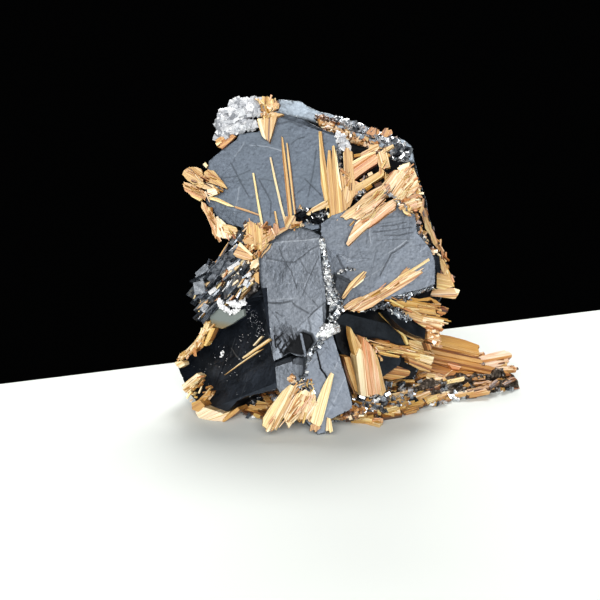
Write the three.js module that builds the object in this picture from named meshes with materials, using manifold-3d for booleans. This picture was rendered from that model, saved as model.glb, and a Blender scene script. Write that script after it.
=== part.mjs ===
import * as THREE from "three";
import { mergeVertices } from "three/addons/utils/BufferGeometryUtils.js";
import Module from "manifold-3d";

// A cluster of tabular hematite crystals overgrown by sprays of golden rutile.
// Millimetres, +Z up, it rests on z = 0 and its front faces -Y.

const basePlateHeight = 2.4;
const upperPlateThickness = 5.5;
const centrePlateThickness = 9;
const rightPlateThickness = 6;
const leftPlateThickness = 7;
const wedgeThickness = 5;
const backPlateThickness = 4;
const rearPlateThickness = 5;
const ledgeThickness = 2.4;
const centring = new THREE.Vector2(0.7, 0.8); // puts the origin mid-footprint
const gap = 0.3; // left between two neighbouring pieces
const smallestEdge = 0.1; // shorter edges are closed up

// The outlines are read in a 600 x 600 view of the front: a level eye point
// 366 mm away and 147 mm up that looks 20 degrees down.
const eye = new THREE.Vector3(-7.5, -366, 147);
const eyeTilt = THREE.MathUtils.degToRad(20);
const viewCentre = 300;
const viewLength = 2700;
const viewUnit = 0.1335; // mm that one view unit spans at the cluster

const wasm = await Module();
wasm.setup();

function sightLine([x, y]) {
  const across = (x - viewCentre) / viewLength;
  const up = (viewCentre - y) / viewLength;
  return new THREE.Vector3(
    across,
    Math.cos(eyeTilt) + up * Math.sin(eyeTilt),
    -Math.sin(eyeTilt) + up * Math.cos(eyeTilt),
  );
}

// A crystal face that turns by yaw, leans back by lean and is seen at the
// named view point at the named depth.
function face(viewPoint, depth, yaw, lean) {
  const turn = THREE.MathUtils.degToRad(yaw);
  const tip = THREE.MathUtils.degToRad(lean);
  const line = sightLine(viewPoint);
  const origin = eye.clone().addScaledVector(line, (depth - eye.y) / line.y);
  const out = new THREE.Vector3(
    Math.sin(turn) * Math.cos(tip),
    -Math.cos(turn) * Math.cos(tip),
    Math.sin(tip),
  );
  const across = new THREE.Vector3(Math.cos(turn), Math.sin(turn), 0);
  const up = out.clone().cross(across);
  return { origin, across, up, out };
}

// The point of a face, raised off it, that is seen at a view point.
function seen(onFace, viewPoint, raised = 0) {
  const line = sightLine(viewPoint);
  const level = onFace.origin.clone().addScaledVector(onFace.out, raised);
  const reach = level.sub(eye).dot(onFace.out) / line.dot(onFace.out);
  return eye.clone().addScaledVector(line, reach);
}

function solidOf(geometry) {
  const bare = new THREE.BufferGeometry();
  bare.setAttribute("position", geometry.getAttribute("position"));
  if (geometry.index) bare.setIndex(geometry.index);
  const welded = mergeVertices(bare, 1e-4);
  return new wasm.Manifold(
    new wasm.Mesh({
      numProp: 3,
      vertProperties: welded.attributes.position.array,
      triVerts: new Uint32Array(welded.index.array),
    }),
  );
}

function union(solids) {
  return wasm.Manifold.union(solids);
}

// The makers of the cluster's forms. With a swell they come out larger all
// round, to cut the neighbours of a piece clear of it.
function makers(swell) {
  // A prism whose front is the outline on the face, its back lying deeper.
  function slab(onFace, outline, front, depth, shrink = 1) {
    const flat = outline.map((point) => {
      const spot = seen(onFace, point, front).sub(onFace.origin);
      return new THREE.Vector2(spot.dot(onFace.across), spot.dot(onFace.up));
    });
    const middle = new THREE.Vector2();
    flat.forEach((spot) => middle.addScaledVector(spot, 1 / flat.length));
    flat.forEach((spot) => spot.sub(middle));
    const reach = flat.reduce((sum, spot) => sum + spot.length(), 0);
    const scale = shrink * (1 + (swell * 1.4 * flat.length) / reach);
    flat.forEach((spot) => spot.multiplyScalar(scale).add(middle));
    const prism = new THREE.ExtrudeGeometry(new THREE.Shape(flat), {
      depth: depth + 2 * swell,
      bevelEnabled: false,
    });
    prism.translate(0, 0, front - depth - swell);
    const { across, up, out, origin } = onFace;
    prism.applyMatrix4(new THREE.Matrix4().makeBasis(across, up, out));
    prism.translate(origin.x, origin.y, origin.z);
    return solidOf(prism);
  }

  // A tabular crystal in two growth layers, of which the one behind is a
  // little smaller and has fewer corners.
  function plate(onFace, outline, thickness) {
    const corners = outline.filter((_, i) => i % 2 === 0);
    return union([
      slab(onFace, outline, 0, thickness * 0.5),
      slab(onFace, corners, -thickness * 0.45, thickness * 0.55, 0.965),
    ]);
  }

  // A flat-topped growth step on a face.
  function step(onFace, outline, height) {
    return slab(onFace, outline, height, height + 0.6);
  }

  // A four-sided rod with one flat side facing the out direction.
  function rod(from, to, rootWidth, tipWidth, thick, out) {
    const along = to.clone().sub(from);
    const length = along.length() + 2 * swell;
    along.normalize();
    const side = along.clone().cross(out).normalize();
    const front = side.clone().cross(along);
    const shape = new THREE.CylinderGeometry(
      (tipWidth + 2 * swell) * Math.SQRT1_2,
      (rootWidth + 2 * swell) * Math.SQRT1_2,
      length,
      4,
      1,
    );
    const widest = Math.max(rootWidth, tipWidth) + 2 * swell;
    shape.rotateY(Math.PI / 4);
    shape.scale(1, 1, (thick + 2 * swell) / widest);
    shape.applyMatrix4(new THREE.Matrix4().makeBasis(side, along, front));
    const middle = from.clone().add(to).multiplyScalar(0.5);
    shape.translate(middle.x, middle.y, middle.z);
    return solidOf(shape);
  }

  // Blades from root to tip, both view points on a face, with their widths
  // in view units and their thickness in mm.
  function blades(onFace, list, raised = gap) {
    return list.map(([x0, y0, x1, y1, root, tip, thick]) => {
      const lift = raised + thick / 2;
      const from = seen(onFace, [x0, y0], lift);
      const to = seen(onFace, [x1, y1], lift);
      return rod(from, to, root * viewUnit, tip * viewUnit, thick, onFace.out);
    });
  }

  // Small turned blocks along a view line, as a crust of grains.
  function grains(onFace, path, size, count, raised) {
    const made = [];
    for (let i = 0; i < count; i += 1) {
      const place = ((i + 0.5) / count) * (path.length - 1);
      const start = Math.min(Math.floor(place), path.length - 2);
      const part = place - start;
      const [x0, y0] = path[start];
      const [x1, y1] = path[start + 1];
      const spot = seen(
        onFace,
        [x0 + (x1 - x0) * part, y0 + (y1 - y0) * part],
        raised + size * 0.2 * (chance(i) - 0.5),
      );
      const wide = size * (0.85 + 0.4 * chance(i + 17)) + 2 * swell;
      const block = new THREE.BoxGeometry(wide, wide * 0.9, wide);
      block.rotateX(chance(i + 5) * 3);
      block.rotateY(chance(i + 9) * 3);
      block.translate(spot.x, spot.y, spot.z);
      made.push(solidOf(block));
    }
    return made;
  }

  return { slab, plate, step, rod, blades, grains };
}

// A repeatable stand-in for chance, from 0 to 1.
function chance(seed) {
  const wave = Math.sin(seed * 12.9898) * 43758.5453;
  return wave - Math.floor(wave);
}

const upperFace = face([270, 170], -0.7, -6, 24);
const centreFace = face([295, 300], -10.1, -10, 20);
const rightFace = face([385, 250], -5.6, 8, 22);
const leftFace = face([268, 345], -11.6, -32, 12);
const footFace = face([335, 400], -15.6, 5, 25);
const wedgeFace = face([370, 330], -7.5, 30, 5);
const backFace = face([405, 141], 6, 0, 19);
const ledgeFace = face([225, 275], -3.5, -22, 26);
const sheafFace = face([440, 345], 2, 20, 42);
const cornerFace = face([434, 280], -4, 24, 20);
const lowFace = face([205, 415], -13.6, -20, 14);
const rearRightFace = face([380, 290], 7.5, 52, 4);
const rearLeftFace = face([300, 290], 8, -44, -3);

const upperOutline = [
  [209, 161], [222, 150], [236, 140], [240, 133], [258, 132], [274, 116],
  [280, 112], [300, 118], [322, 129], [334, 133], [338, 145], [341, 200],
  [336, 226], [300, 232], [262, 246], [243, 228], [219, 219], [206, 203],
  [206, 190],
];
const centreOutline = [
  [259, 258], [270, 243], [280, 233], [297, 226], [313, 232], [321, 236],
  [324, 262], [327, 300], [325, 320], [320, 337], [308, 355], [297, 357],
  [290, 354], [280, 357], [274, 361], [269, 340], [264, 300], [260, 285],
];
const rightOutline = [
  [332, 215], [345, 210], [405, 205], [413, 214], [416, 233], [430, 250],
  [434, 262], [434, 285], [405, 293], [380, 302], [352, 309], [340, 310],
  [333, 290], [329, 262],
];
const leftOutline = [
  [262, 288], [268, 330], [275, 365], [278, 388], [262, 393], [247, 396],
  [235, 402], [226, 414], [208, 408], [204, 375], [184, 380], [178, 368],
  [183, 356], [203, 340], [213, 330], [235, 318], [246, 300],
];
const footOutline = [
  [275, 363], [290, 357], [305, 357], [320, 346], [333, 336], [338, 352],
  [345, 375], [352, 397], [352, 410], [331, 420], [324, 432], [308, 424],
  [290, 416], [272, 414], [277, 394],
];
const wedgeOutline = [
  [336, 318], [350, 310], [367, 310], [397, 322], [412, 334], [414, 346],
  [395, 366], [372, 384], [350, 372], [340, 350],
];
const backOutline = [
  [280, 100], [306, 104], [320, 112], [342, 119], [358, 125], [385, 136],
  [404, 140], [411, 146], [418, 175], [425, 198], [438, 243], [447, 264],
  [450, 285], [438, 302], [430, 340], [414, 378], [320, 376], [262, 300],
  [256, 200], [264, 140],
];
const ledgeOutline = [
  [243, 228], [232, 245], [206, 268], [196, 284], [200, 312], [206, 320],
  [225, 306], [246, 298], [258, 290], [262, 262], [258, 236],
];
const rearRightOutline = [
  [352, 262], [372, 236], [392, 232], [408, 262], [410, 330], [398, 352],
  [352, 368],
];
const rearLeftOutline = [
  [330, 250], [312, 232], [292, 244], [276, 270], [272, 318], [284, 346],
  [334, 366],
];

// The resting plate lies on the ground, so its outline is in millimetres.
const baseOutline = [
  [-16, -8], [-6, -12.5], [3, -11.5], [12.5, -5], [24.4, 0], [23.6, 3],
  [18, 9], [10, 15.5], [-2.5, 18.5], [-12, 15], [-17.5, 6],
];

// Two layers, the upper one a little smaller.
function basePlate(swell) {
  const half = basePlateHeight / 2;
  const reach = 1 + swell / 10;
  const layers = [
    { width: reach, length: reach, shift: 0, floor: 0 },
    { width: 0.93 * reach, length: 0.9 * reach, shift: 0.4, floor: half - 0.2 },
  ].map(({ width, length, shift, floor }) => {
    const outline = baseOutline.map(
      ([x, y]) => new THREE.Vector2(x * width, y * length + shift),
    );
    const layer = new THREE.ExtrudeGeometry(new THREE.Shape(outline), {
      depth: half + 0.2 + swell,
      bevelEnabled: false,
    });
    return solidOf(layer.translate(0, 0, floor));
  });
  return union(layers);
}

// Everything stands on the ground, so what would reach below it is cut off.
const underground = solidOf(
  new THREE.BoxGeometry(200, 200, 40).translate(0, 0, -20),
);

function hematitePieces(swell) {
  const { slab, plate, step } = makers(swell);
  return {
    centre_hematite_plate: union([
      plate(centreFace, centreOutline, centrePlateThickness),
      step(centreFace, [[292, 276], [311, 272], [326, 285], [327, 300],
        [324, 322], [308, 318], [297, 300]], 0.35),
      step(centreFace, [[283, 330], [300, 320], [311, 330], [318, 341],
        [305, 353], [284, 354]], 0.45),
    ]),
    upper_hematite_plate: union([
      plate(upperFace, upperOutline, upperPlateThickness),
      step(upperFace, [[244, 140], [262, 134], [284, 118], [300, 122],
        [318, 132], [326, 158], [300, 178], [262, 172], [240, 160]], 0.3),
    ]),
    right_hematite_plate: union([
      plate(rightFace, rightOutline, rightPlateThickness),
      step(rightFace, [[352, 262], [378, 252], [405, 245], [424, 255],
        [426, 272], [398, 286], [358, 298], [342, 290]], 0.35),
    ]),
    foot_hematite_block: union([
      plate(footFace, footOutline, centrePlateThickness * 0.85),
      step(footFace, [[318, 346], [333, 336], [345, 375], [351, 398],
        [336, 410], [326, 400], [330, 375], [312, 362]], 0.7),
    ]),
    left_hematite_plate: union([
      plate(leftFace, leftOutline, leftPlateThickness),
      step(leftFace, [[214, 334], [246, 322], [262, 340], [268, 372],
        [240, 388], [214, 384]], 0.4),
    ]),
    right_hematite_wedge: plate(wedgeFace, wedgeOutline, wedgeThickness),
    left_hematite_ledges: union([
      slab(ledgeFace, ledgeOutline, 0, ledgeThickness),
      slab(ledgeFace, ledgeOutline, -1.8, 3.6, 0.84),
      step(ledgeFace, [[252, 250], [228, 268], [208, 292], [214, 306],
        [236, 292], [256, 276]], 0.8),
      step(ledgeFace, [[248, 258], [230, 276], [220, 292], [238, 286],
        [254, 272]], 1.5),
    ]),
    back_hematite_plate: union([
      plate(backFace, backOutline, backPlateThickness),
      slab(backFace, [[300, 140], [372, 146], [400, 200], [392, 250],
        [330, 262], [290, 210]], 0.2 - backPlateThickness, 0.9),
    ]),
    base_hematite_plate: basePlate(swell),
    rear_right_hematite_plate: plate(
      rearRightFace,
      rearRightOutline,
      rearPlateThickness,
    ),
    rear_left_hematite_plate: plate(
      rearLeftFace,
      rearLeftOutline,
      rearPlateThickness,
    ),
  };
}

function rutilePieces(swell) {
  const { blades, rod } = makers(swell);
  return {
    top_rutile_cap: union([
      ...blades(upperFace, [
        [270, 141, 268, 98, 4, 17, 1.8],
        [264, 140, 260, 104, 3, 9, 1.4],
      ]),
    ]),
    upper_left_rutile_spray: union([
      ...blades(upperFace, [
        [230, 189, 184, 173, 7, 8, 1.1],
        [230, 187, 190, 167, 6, 6, 1.2],
        [230, 186, 205, 168, 6, 8, 1],
        [234, 184, 212, 170, 5, 5, 0.9],
        [214, 194, 184, 184, 8, 6, 0.8],
        [222, 190, 200, 196, 8, 8, 1],
        [206, 194, 262, 215, 3, 1.5, 0.7],
        [222, 196, 214, 230, 8, 10, 1.1],
        [224, 206, 238, 236, 12, 11, 0.9],
        [212, 200, 213, 234, 9, 5, 1.2],
      ]),
    ]),
    orange_rutile_patch: union(
      blades(upperFace, [
        [240, 134, 218, 141, 9, 7, 0.9],
        [238, 137, 221, 148, 6, 5, 0.8],
      ]),
    ),
    upper_rutile_needles: union(
      blades(upperFace, [
        [294, 226, 284, 139, 7, 5, 0.8],
        [285, 230, 270, 158, 5, 4, 0.8],
        [267, 234, 254, 173, 5, 4, 0.8],
        [277, 232, 274, 212, 5, 5, 0.9],
        [300, 225, 262, 231, 10, 10, 1],
      ]),
    ),
    junction_rutile_laths: union(
      blades(upperFace, [
        [266, 246, 252, 222, 6, 6, 0.9],
        [268, 247, 238, 238, 8, 7, 0.9],
        [264, 250, 232, 252, 10, 10, 1.1],
      ]),
    ),
    upper_right_rutile_spray: union([
      ...blades(upperFace, [
        [333, 224, 321, 132, 5, 3, 0.9],
        [334, 224, 332, 146, 8, 7, 1.1],
        [338, 222, 339, 148, 7, 6, 1.3],
        [344, 222, 347, 150, 7, 6, 1.6],
        [350, 216, 354, 162, 8, 5, 1.9],
        [350, 192, 376, 156, 12, 14, 1.6],
        [352, 200, 384, 172, 7, 6, 1.2],
        [336, 222, 414, 164, 12, 14, 2.2],
        [340, 228, 420, 172, 14, 14, 2.2],
        [344, 234, 422, 186, 14, 16, 2.2],
        [348, 240, 420, 202, 14, 12, 2],
        [348, 244, 408, 208, 12, 8, 1.6],
      ]),
      ...blades(upperFace, [
        [384, 182, 380, 152, 6, 6, 1],
        [388, 180, 386, 150, 6, 6, 1],
      ], 0.9),
    ]),
    back_rutile_tips: union(
      blades(backFace, [
        [378, 146, 372, 126, 9, 6, 1.4],
        [380, 146, 386, 128, 9, 9, 1.4],
      ]),
    ),
    right_edge_rutile: union([
      ...blades(backFace, [
        [436, 250, 423, 204, 6, 7, 1.2],
        [432, 244, 406, 246, 7, 3, 1],
        [432, 240, 406, 240, 6, 3, 1],
        [454, 286, 440, 248, 7, 7, 1.4],
        [444, 286, 436, 252, 10, 6, 1],
        [444, 290, 442, 268, 18, 14, 1.3],
        [436, 293, 460, 293, 9, 8, 1.4],
      ], 0.2),
    ]),
    right_rutile_spray: union(
      blades(rightFace, [
        [338, 309, 431, 258, 4, 3, 0.9],
        [340, 310, 425, 270, 10, 6, 1.2],
        [350, 311, 418, 278, 10, 5, 1.1],
        [340, 306, 366, 271, 6, 4, 0.9],
        [338, 304, 352, 284, 5, 4, 0.9],
      ]),
    ),
    right_middle_rutile_laths: union(
      blades(cornerFace, [
        [392, 301, 437, 311, 7, 7, 1.1],
        [390, 307, 442, 319, 8, 8, 1.3],
        [392, 313, 442, 328, 8, 8, 1.3],
        [396, 317, 430, 329, 7, 6, 1],
        [398, 302, 440, 302, 6, 5, 0.9],
      ], 0.6),
    ),
    lower_right_rutile_laths: union(
      blades(wedgeFace, [
        [372, 338, 431, 350, 7, 7, 1.2],
        [372, 343, 435, 357, 8, 8, 1.4],
        [374, 350, 430, 364, 7, 7, 1.2],
        [374, 350, 402, 360, 7, 6, 1],
        [382, 314, 408, 346, 7, 5, 1.1],
        [370, 330, 392, 352, 8, 8, 1],
      ]),
    ),
    vertical_rutile_fan: union([
      ...blades(wedgeFace, [
        [353, 334, 365, 396, 9, 9, 1.5],
        [360, 334, 373, 397, 9, 9, 1.7],
        [364, 338, 382, 395, 8, 9, 1.5],
        [352, 352, 356, 394, 8, 6, 1.6],
        [350, 352, 348, 372, 6, 4, 1.3],
      ], 0.8),
    ]),
    foot_rutile_sheaf: union([
      ...blades(footFace, [
        [292, 384, 264, 424, 8, 8, 1.4],
        [296, 386, 270, 434, 9, 9, 1.6],
        [300, 388, 280, 430, 8, 9, 1.5],
        [306, 390, 288, 427, 8, 9, 1.4],
        [316, 394, 302, 420, 8, 8, 1.3],
        [330, 372, 318, 424, 12, 8, 1.5],
        [318, 394, 310, 424, 10, 8, 1.3],
        [324, 400, 324, 430, 9, 7, 1.5],
        [296, 378, 322, 396, 12, 12, 1],
      ]),
    ]),
    lower_left_rutile_laths: union([
      ...blades(leftFace, [
        [205, 342, 176, 362, 7, 8, 1.2],
        [214, 331, 200, 348, 8, 8, 1],
        [212, 328, 204, 346, 6, 5, 1],
        [206, 322, 200, 332, 8, 8, 1.2],
        [214, 366, 182, 390, 7, 6, 1.2],
        [214, 372, 188, 394, 7, 6, 1.2],
        [214, 382, 196, 404, 8, 7, 1.2],
        [218, 392, 200, 416, 10, 10, 1.4],
        [212, 334, 212, 392, 12, 14, 0.9],
      ]),
    ]),
    lower_left_rutile_block: union([
      ...blades(lowFace, [
        [222, 400, 212, 425, 15, 12, 5.2],
        [208, 400, 202, 420, 16, 10, 5],
        [232, 404, 215, 423, 12, 9, 5],
      ], -5),
    ]),
    left_rutile_needles: union(
      blades(leftFace, [
        [269, 338, 242, 359, 5, 4, 0.7],
        [246, 356, 225, 375, 5, 3, 0.6],
        [264, 336, 252, 347, 4, 3, 0.6],
        [252, 346, 248, 358, 5, 4, 0.6],
      ], 0.75),
    ),
    right_base_rutile_sheaf: union([
      ...blades(sheafFace, [
        [424, 332, 478, 352, 14, 14, 2.6],
        [424, 340, 500, 368, 16, 14, 2.8],
        [426, 350, 516, 380, 18, 12, 3],
        [424, 360, 516, 386, 16, 10, 2.6],
        [420, 368, 480, 382, 14, 12, 2.4],
        [482, 353, 509, 353, 4, 7, 1.1],
        [470, 352, 496, 353, 10, 6, 1.2],
        [426, 336, 424, 366, 14, 14, 2.4],
      ], -1.2),
    ]),
    front_rutile_band: union([
      ...[
        [-15, -10.4, -9.5, -13.4],
        [-8, -13.4, -6.2, -13.6],
        [-1.5, -12.9, 3.5, -12.4],
        [3, -12.4, 9, -8.4],
        [8.5, -8.6, 15, -4.6],
        [14.5, -4.8, 23.6, -0.8],
      ].map(([x0, y0, x1, y1]) =>
        rod(
          new THREE.Vector3(x0, y0, 1.25),
          new THREE.Vector3(x1, y1, 1.15),
          2,
          1.7,
          2.2,
          new THREE.Vector3(0, 0, 1),
        ),
      ),
    ]),
    rear_rutile_spray: rearSpray(swell),
  };
}

// The sprays on the back keep to the three directions of the crystal's axes.
function rearSpray(swell) {
  const { rod } = makers(swell);
  const middle = new THREE.Vector3(1, 8.3, 27);
  const out = backFace.out.clone().negate();
  const across = backFace.across.clone();
  const made = [];
  for (let i = 0; i < 3; i += 1) {
    const along = across.clone().applyAxisAngle(out, (i * Math.PI) / 3 + 0.2);
    const from = middle.clone().addScaledVector(along, 2 * i - 9);
    const to = middle.clone().addScaledVector(along, 10 - i);
    made.push(rod(from, to, 1.6, 2.2, 1.3, out));
  }
  return union(made);
}

function crustPieces(swell) {
  const { blades, grains } = makers(swell);
  return {
    white_crystal_crust: union([
      ...grains(upperFace, [[224, 124], [232, 115], [248, 108], [260, 109]],
        2.6, 4, 0.2),
      ...grains(upperFace, [[223, 132], [234, 126], [248, 118], [259, 119]],
        2.6, 4, 0.3),
      ...grains(upperFace, [[240, 128], [254, 127]], 1.7, 2, 0.8),
    ]),
    silver_druse_seam: union([
      ...grains(centreFace, [[322, 240], [325, 256], [328, 272], [331, 288],
        [335, 302], [337, 312], [330, 326], [324, 337], [314, 348],
        [308, 360]], 2, 10, 0.6),
      ...grains(centreFace, [[324, 330], [333, 330]], 1.6, 2, 1.1),
    ]),
    white_druse_patch: union(
      grains(leftFace, [[222, 308], [232, 316], [244, 308], [248, 298]],
        2.1, 5, 0.5),
    ),
    dark_crystal_nest: union([
      ...grains(upperFace, [[304, 214], [312, 220], [324, 216]], 1.9, 4, 0.3),
      ...blades(upperFace, [[310, 211, 328, 201, 4, 3, 0.8]], 0.9),
    ]),
  };
}

function allPieces(swell) {
  return {
    ...hematitePieces(swell),
    ...rutilePieces(swell),
    ...crustPieces(swell),
  };
}

function boxesMeet(a, b) {
  return [0, 1, 2].every((k) => a.min[k] < b.max[k] && b.min[k] < a.max[k]);
}

// Cuts each piece clear of those before it and keeps its one main body.
function separatedPieces() {
  const swollen = allPieces(gap);
  const settled = [];
  for (const [name, whole] of Object.entries(allPieces(0))) {
    let solid = whole.subtract(underground);
    const box = solid.boundingBox();
    for (const before of settled) {
      const room = swollen[before.name];
      if (boxesMeet(box, room.boundingBox())) solid = solid.subtract(room);
    }
    const bodies = solid.simplify(smallestEdge).decompose();
    bodies.sort((a, b) => b.volume() - a.volume());
    settled.push({ name, solid: bodies[0] });
  }
  return settled;
}

const looks = {
  hematite: { color: "#5f6773", roughness: 0.4, metalness: 0.85 },
  rutile: { color: "#d9a860", roughness: 0.35, metalness: 0.1 },
  crust: { color: "#e6e3dc", roughness: 0.55, metalness: 0 },
  druse: { color: "#aab0b6", roughness: 0.4, metalness: 0.4 },
};

function lookOf(name) {
  if (name.includes("hematite")) return looks.hematite;
  if (name.includes("rutile")) return looks.rutile;
  return name.startsWith("white") ? looks.crust : looks.druse;
}

function meshOf({ name, solid }) {
  const { vertProperties, triVerts } = solid.getMesh();
  const geometry = new THREE.BufferGeometry();
  geometry.setAttribute(
    "position",
    new THREE.BufferAttribute(new Float32Array(vertProperties), 3),
  );
  geometry.setIndex(new THREE.BufferAttribute(new Uint32Array(triVerts), 1));
  geometry.translate(centring.x, centring.y, 0);
  geometry.computeVertexNormals();
  const mesh = new THREE.Mesh(
    geometry,
    new THREE.MeshStandardMaterial({ ...lookOf(name), flatShading: true }),
  );
  mesh.name = name;
  return mesh;
}

const cluster = new THREE.Group();
cluster.name = "rutile_crystal_cluster";
separatedPieces().forEach((piece) => cluster.add(meshOf(piece)));

export default cluster;
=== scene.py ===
import math
import random

import bmesh
import bpy
import numpy as np
from mathutils import Matrix, Vector, noise


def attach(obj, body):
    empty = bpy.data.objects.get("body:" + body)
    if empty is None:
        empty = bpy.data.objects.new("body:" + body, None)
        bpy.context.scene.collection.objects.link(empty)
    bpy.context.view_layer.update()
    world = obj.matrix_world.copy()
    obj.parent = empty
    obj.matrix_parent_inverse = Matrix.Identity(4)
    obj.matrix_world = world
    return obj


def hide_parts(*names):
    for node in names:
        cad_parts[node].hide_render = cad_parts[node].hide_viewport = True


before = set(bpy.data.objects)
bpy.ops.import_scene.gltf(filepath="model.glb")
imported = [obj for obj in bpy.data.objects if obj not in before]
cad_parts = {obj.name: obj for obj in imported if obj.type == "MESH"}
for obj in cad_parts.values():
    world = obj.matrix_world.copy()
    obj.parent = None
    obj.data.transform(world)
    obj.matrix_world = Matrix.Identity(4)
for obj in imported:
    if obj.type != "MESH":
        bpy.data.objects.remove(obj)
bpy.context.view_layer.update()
print("frame loaded:", len(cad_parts), "nodes")

# The front is laid out in a 600 x 600 view, in millimetres, from an eye point
# that looks 20 degrees down, and then brought to the row frame in metres.
view = {"eye": (-7.5, -366.0, 147.0), "tilt": 20.0, "length": 2700.0, "middle": 300.0}
mmPerUnit = 0.1335
toRow = Matrix.Scale(0.001, 4) @ Matrix.Translation((0.7, 0.8, 0.0))
fromRow = toRow.inverted()
eyePoint = Vector(view["eye"])
tiltAngle = math.radians(view["tilt"])


def sightLine(point):
    across = (point[0] - view["middle"]) / view["length"]
    up = (view["middle"] - point[1]) / view["length"]
    return Vector((
        across,
        math.cos(tiltAngle) + up * math.sin(tiltAngle),
        -math.sin(tiltAngle) + up * math.cos(tiltAngle),
    ))


def crystalFace(point, depth, yaw, lean):
    turn, tip = math.radians(yaw), math.radians(lean)
    line = sightLine(point)
    origin = eyePoint + line * ((depth - eyePoint.y) / line.y)
    out = Vector((
        math.sin(turn) * math.cos(tip), -math.cos(turn) * math.cos(tip), math.sin(tip)
    ))
    return {"origin": origin, "out": out}


def onFace(face, point, raised=0.0):
    line = sightLine(point)
    reach = (face["origin"] + face["out"] * raised - eyePoint).dot(face["out"])
    return eyePoint + line * (reach / line.dot(face["out"]))


# where points in mm are seen, as an array of view points
def inView(points):
    offset = points - np.array(view["eye"])
    ahead = offset[:, 1] * math.cos(tiltAngle) - offset[:, 2] * math.sin(tiltAngle)
    up = offset[:, 1] * math.sin(tiltAngle) + offset[:, 2] * math.cos(tiltAngle)
    return np.stack([
        view["middle"] + view["length"] * offset[:, 0] / ahead,
        view["middle"] - view["length"] * up / ahead,
    ], axis=1)


upperFace = crystalFace((270, 170), -0.7, -6, 24)
centreFace = crystalFace((295, 300), -10.1, -10, 20)
rightFace = crystalFace((385, 250), -5.6, 8, 22)
leftFace = crystalFace((268, 345), -11.6, -32, 12)
footFace = crystalFace((335, 400), -15.6, 5, 25)
footLeftFace = crystalFace((285, 375), -14.6, -16, 18)
wedgeFace = crystalFace((370, 330), -7.5, 30, 5)
backFace = crystalFace((405, 141), 6, 0, 19)
ledgeFace = crystalFace((225, 275), -3.5, -22, 26)
sheafFace = crystalFace((440, 345), 2, 20, 42)
cornerFace = crystalFace((434, 280), -4, 24, 20)
lowFace = crystalFace((205, 415), -13.6, -20, 14)
innerFace = crystalFace((398, 364), -4.5, 30, 6)
rearRightFace = crystalFace((380, 290), 7.5, 52, 4)
rearLeftFace = crystalFace((300, 290), 8, -44, -3)


def linear(hexColour):
    values = [int(hexColour[i:i + 2], 16) / 255 for i in (1, 3, 5)]
    return tuple(
        v / 12.92 if v <= 0.04045 else ((v + 0.055) / 1.055) ** 2.4 for v in values
    ) + (1.0,)


# A link's source is a socket, or a node whose first output is taken.
def addNode(tree, kind, settings={}, links={}):
    node = tree.nodes.new("ShaderNode" + kind)
    for key, value in settings.items():
        if key == "stops":
            elements = node.color_ramp.elements
            elements.remove(elements[1])
            elements[0].position, elements[0].color = value[0][0], linear(value[0][1])
            for place, colour in value[1:]:
                elements.new(place).color = linear(colour)
        elif key in node.inputs:
            node.inputs[key].default_value = value
        else:
            setattr(node, key, value)
    for key, source in links.items():
        socket = source.outputs[0] if hasattr(source, "outputs") else source
        tree.links.new(socket, node.inputs[key])
    return node


def newMaterial(name):
    material = bpy.data.materials.new(name)
    material.use_nodes = True
    material.node_tree.nodes.clear()
    return material, material.node_tree


def finishMaterial(tree, settings, links):
    shader = addNode(tree, "BsdfPrincipled", settings, links)
    addNode(tree, "OutputMaterial", {}, {"Surface": shader})


def perMm(size):
    return 1000.0 / size


noiseSpan = {"From Min": 0.3, "From Max": 0.7}  # where a noise's values mostly lie
hematitePattern = {
    "cloud": 4.5,           # mm across a cloud of the broad mottle
    "grain": 0.42,          # mm across a grain of the fine mottle
    "fleck": 0.55,          # mm across a bright fleck
    "fleckEdge": 0.04,
    "fleckShare": 0.85,
    "fineDepth": 0.00003,   # metres of bump
    "broadDepth": 0.0001,
    "metallic": 0.9,
}


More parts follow.
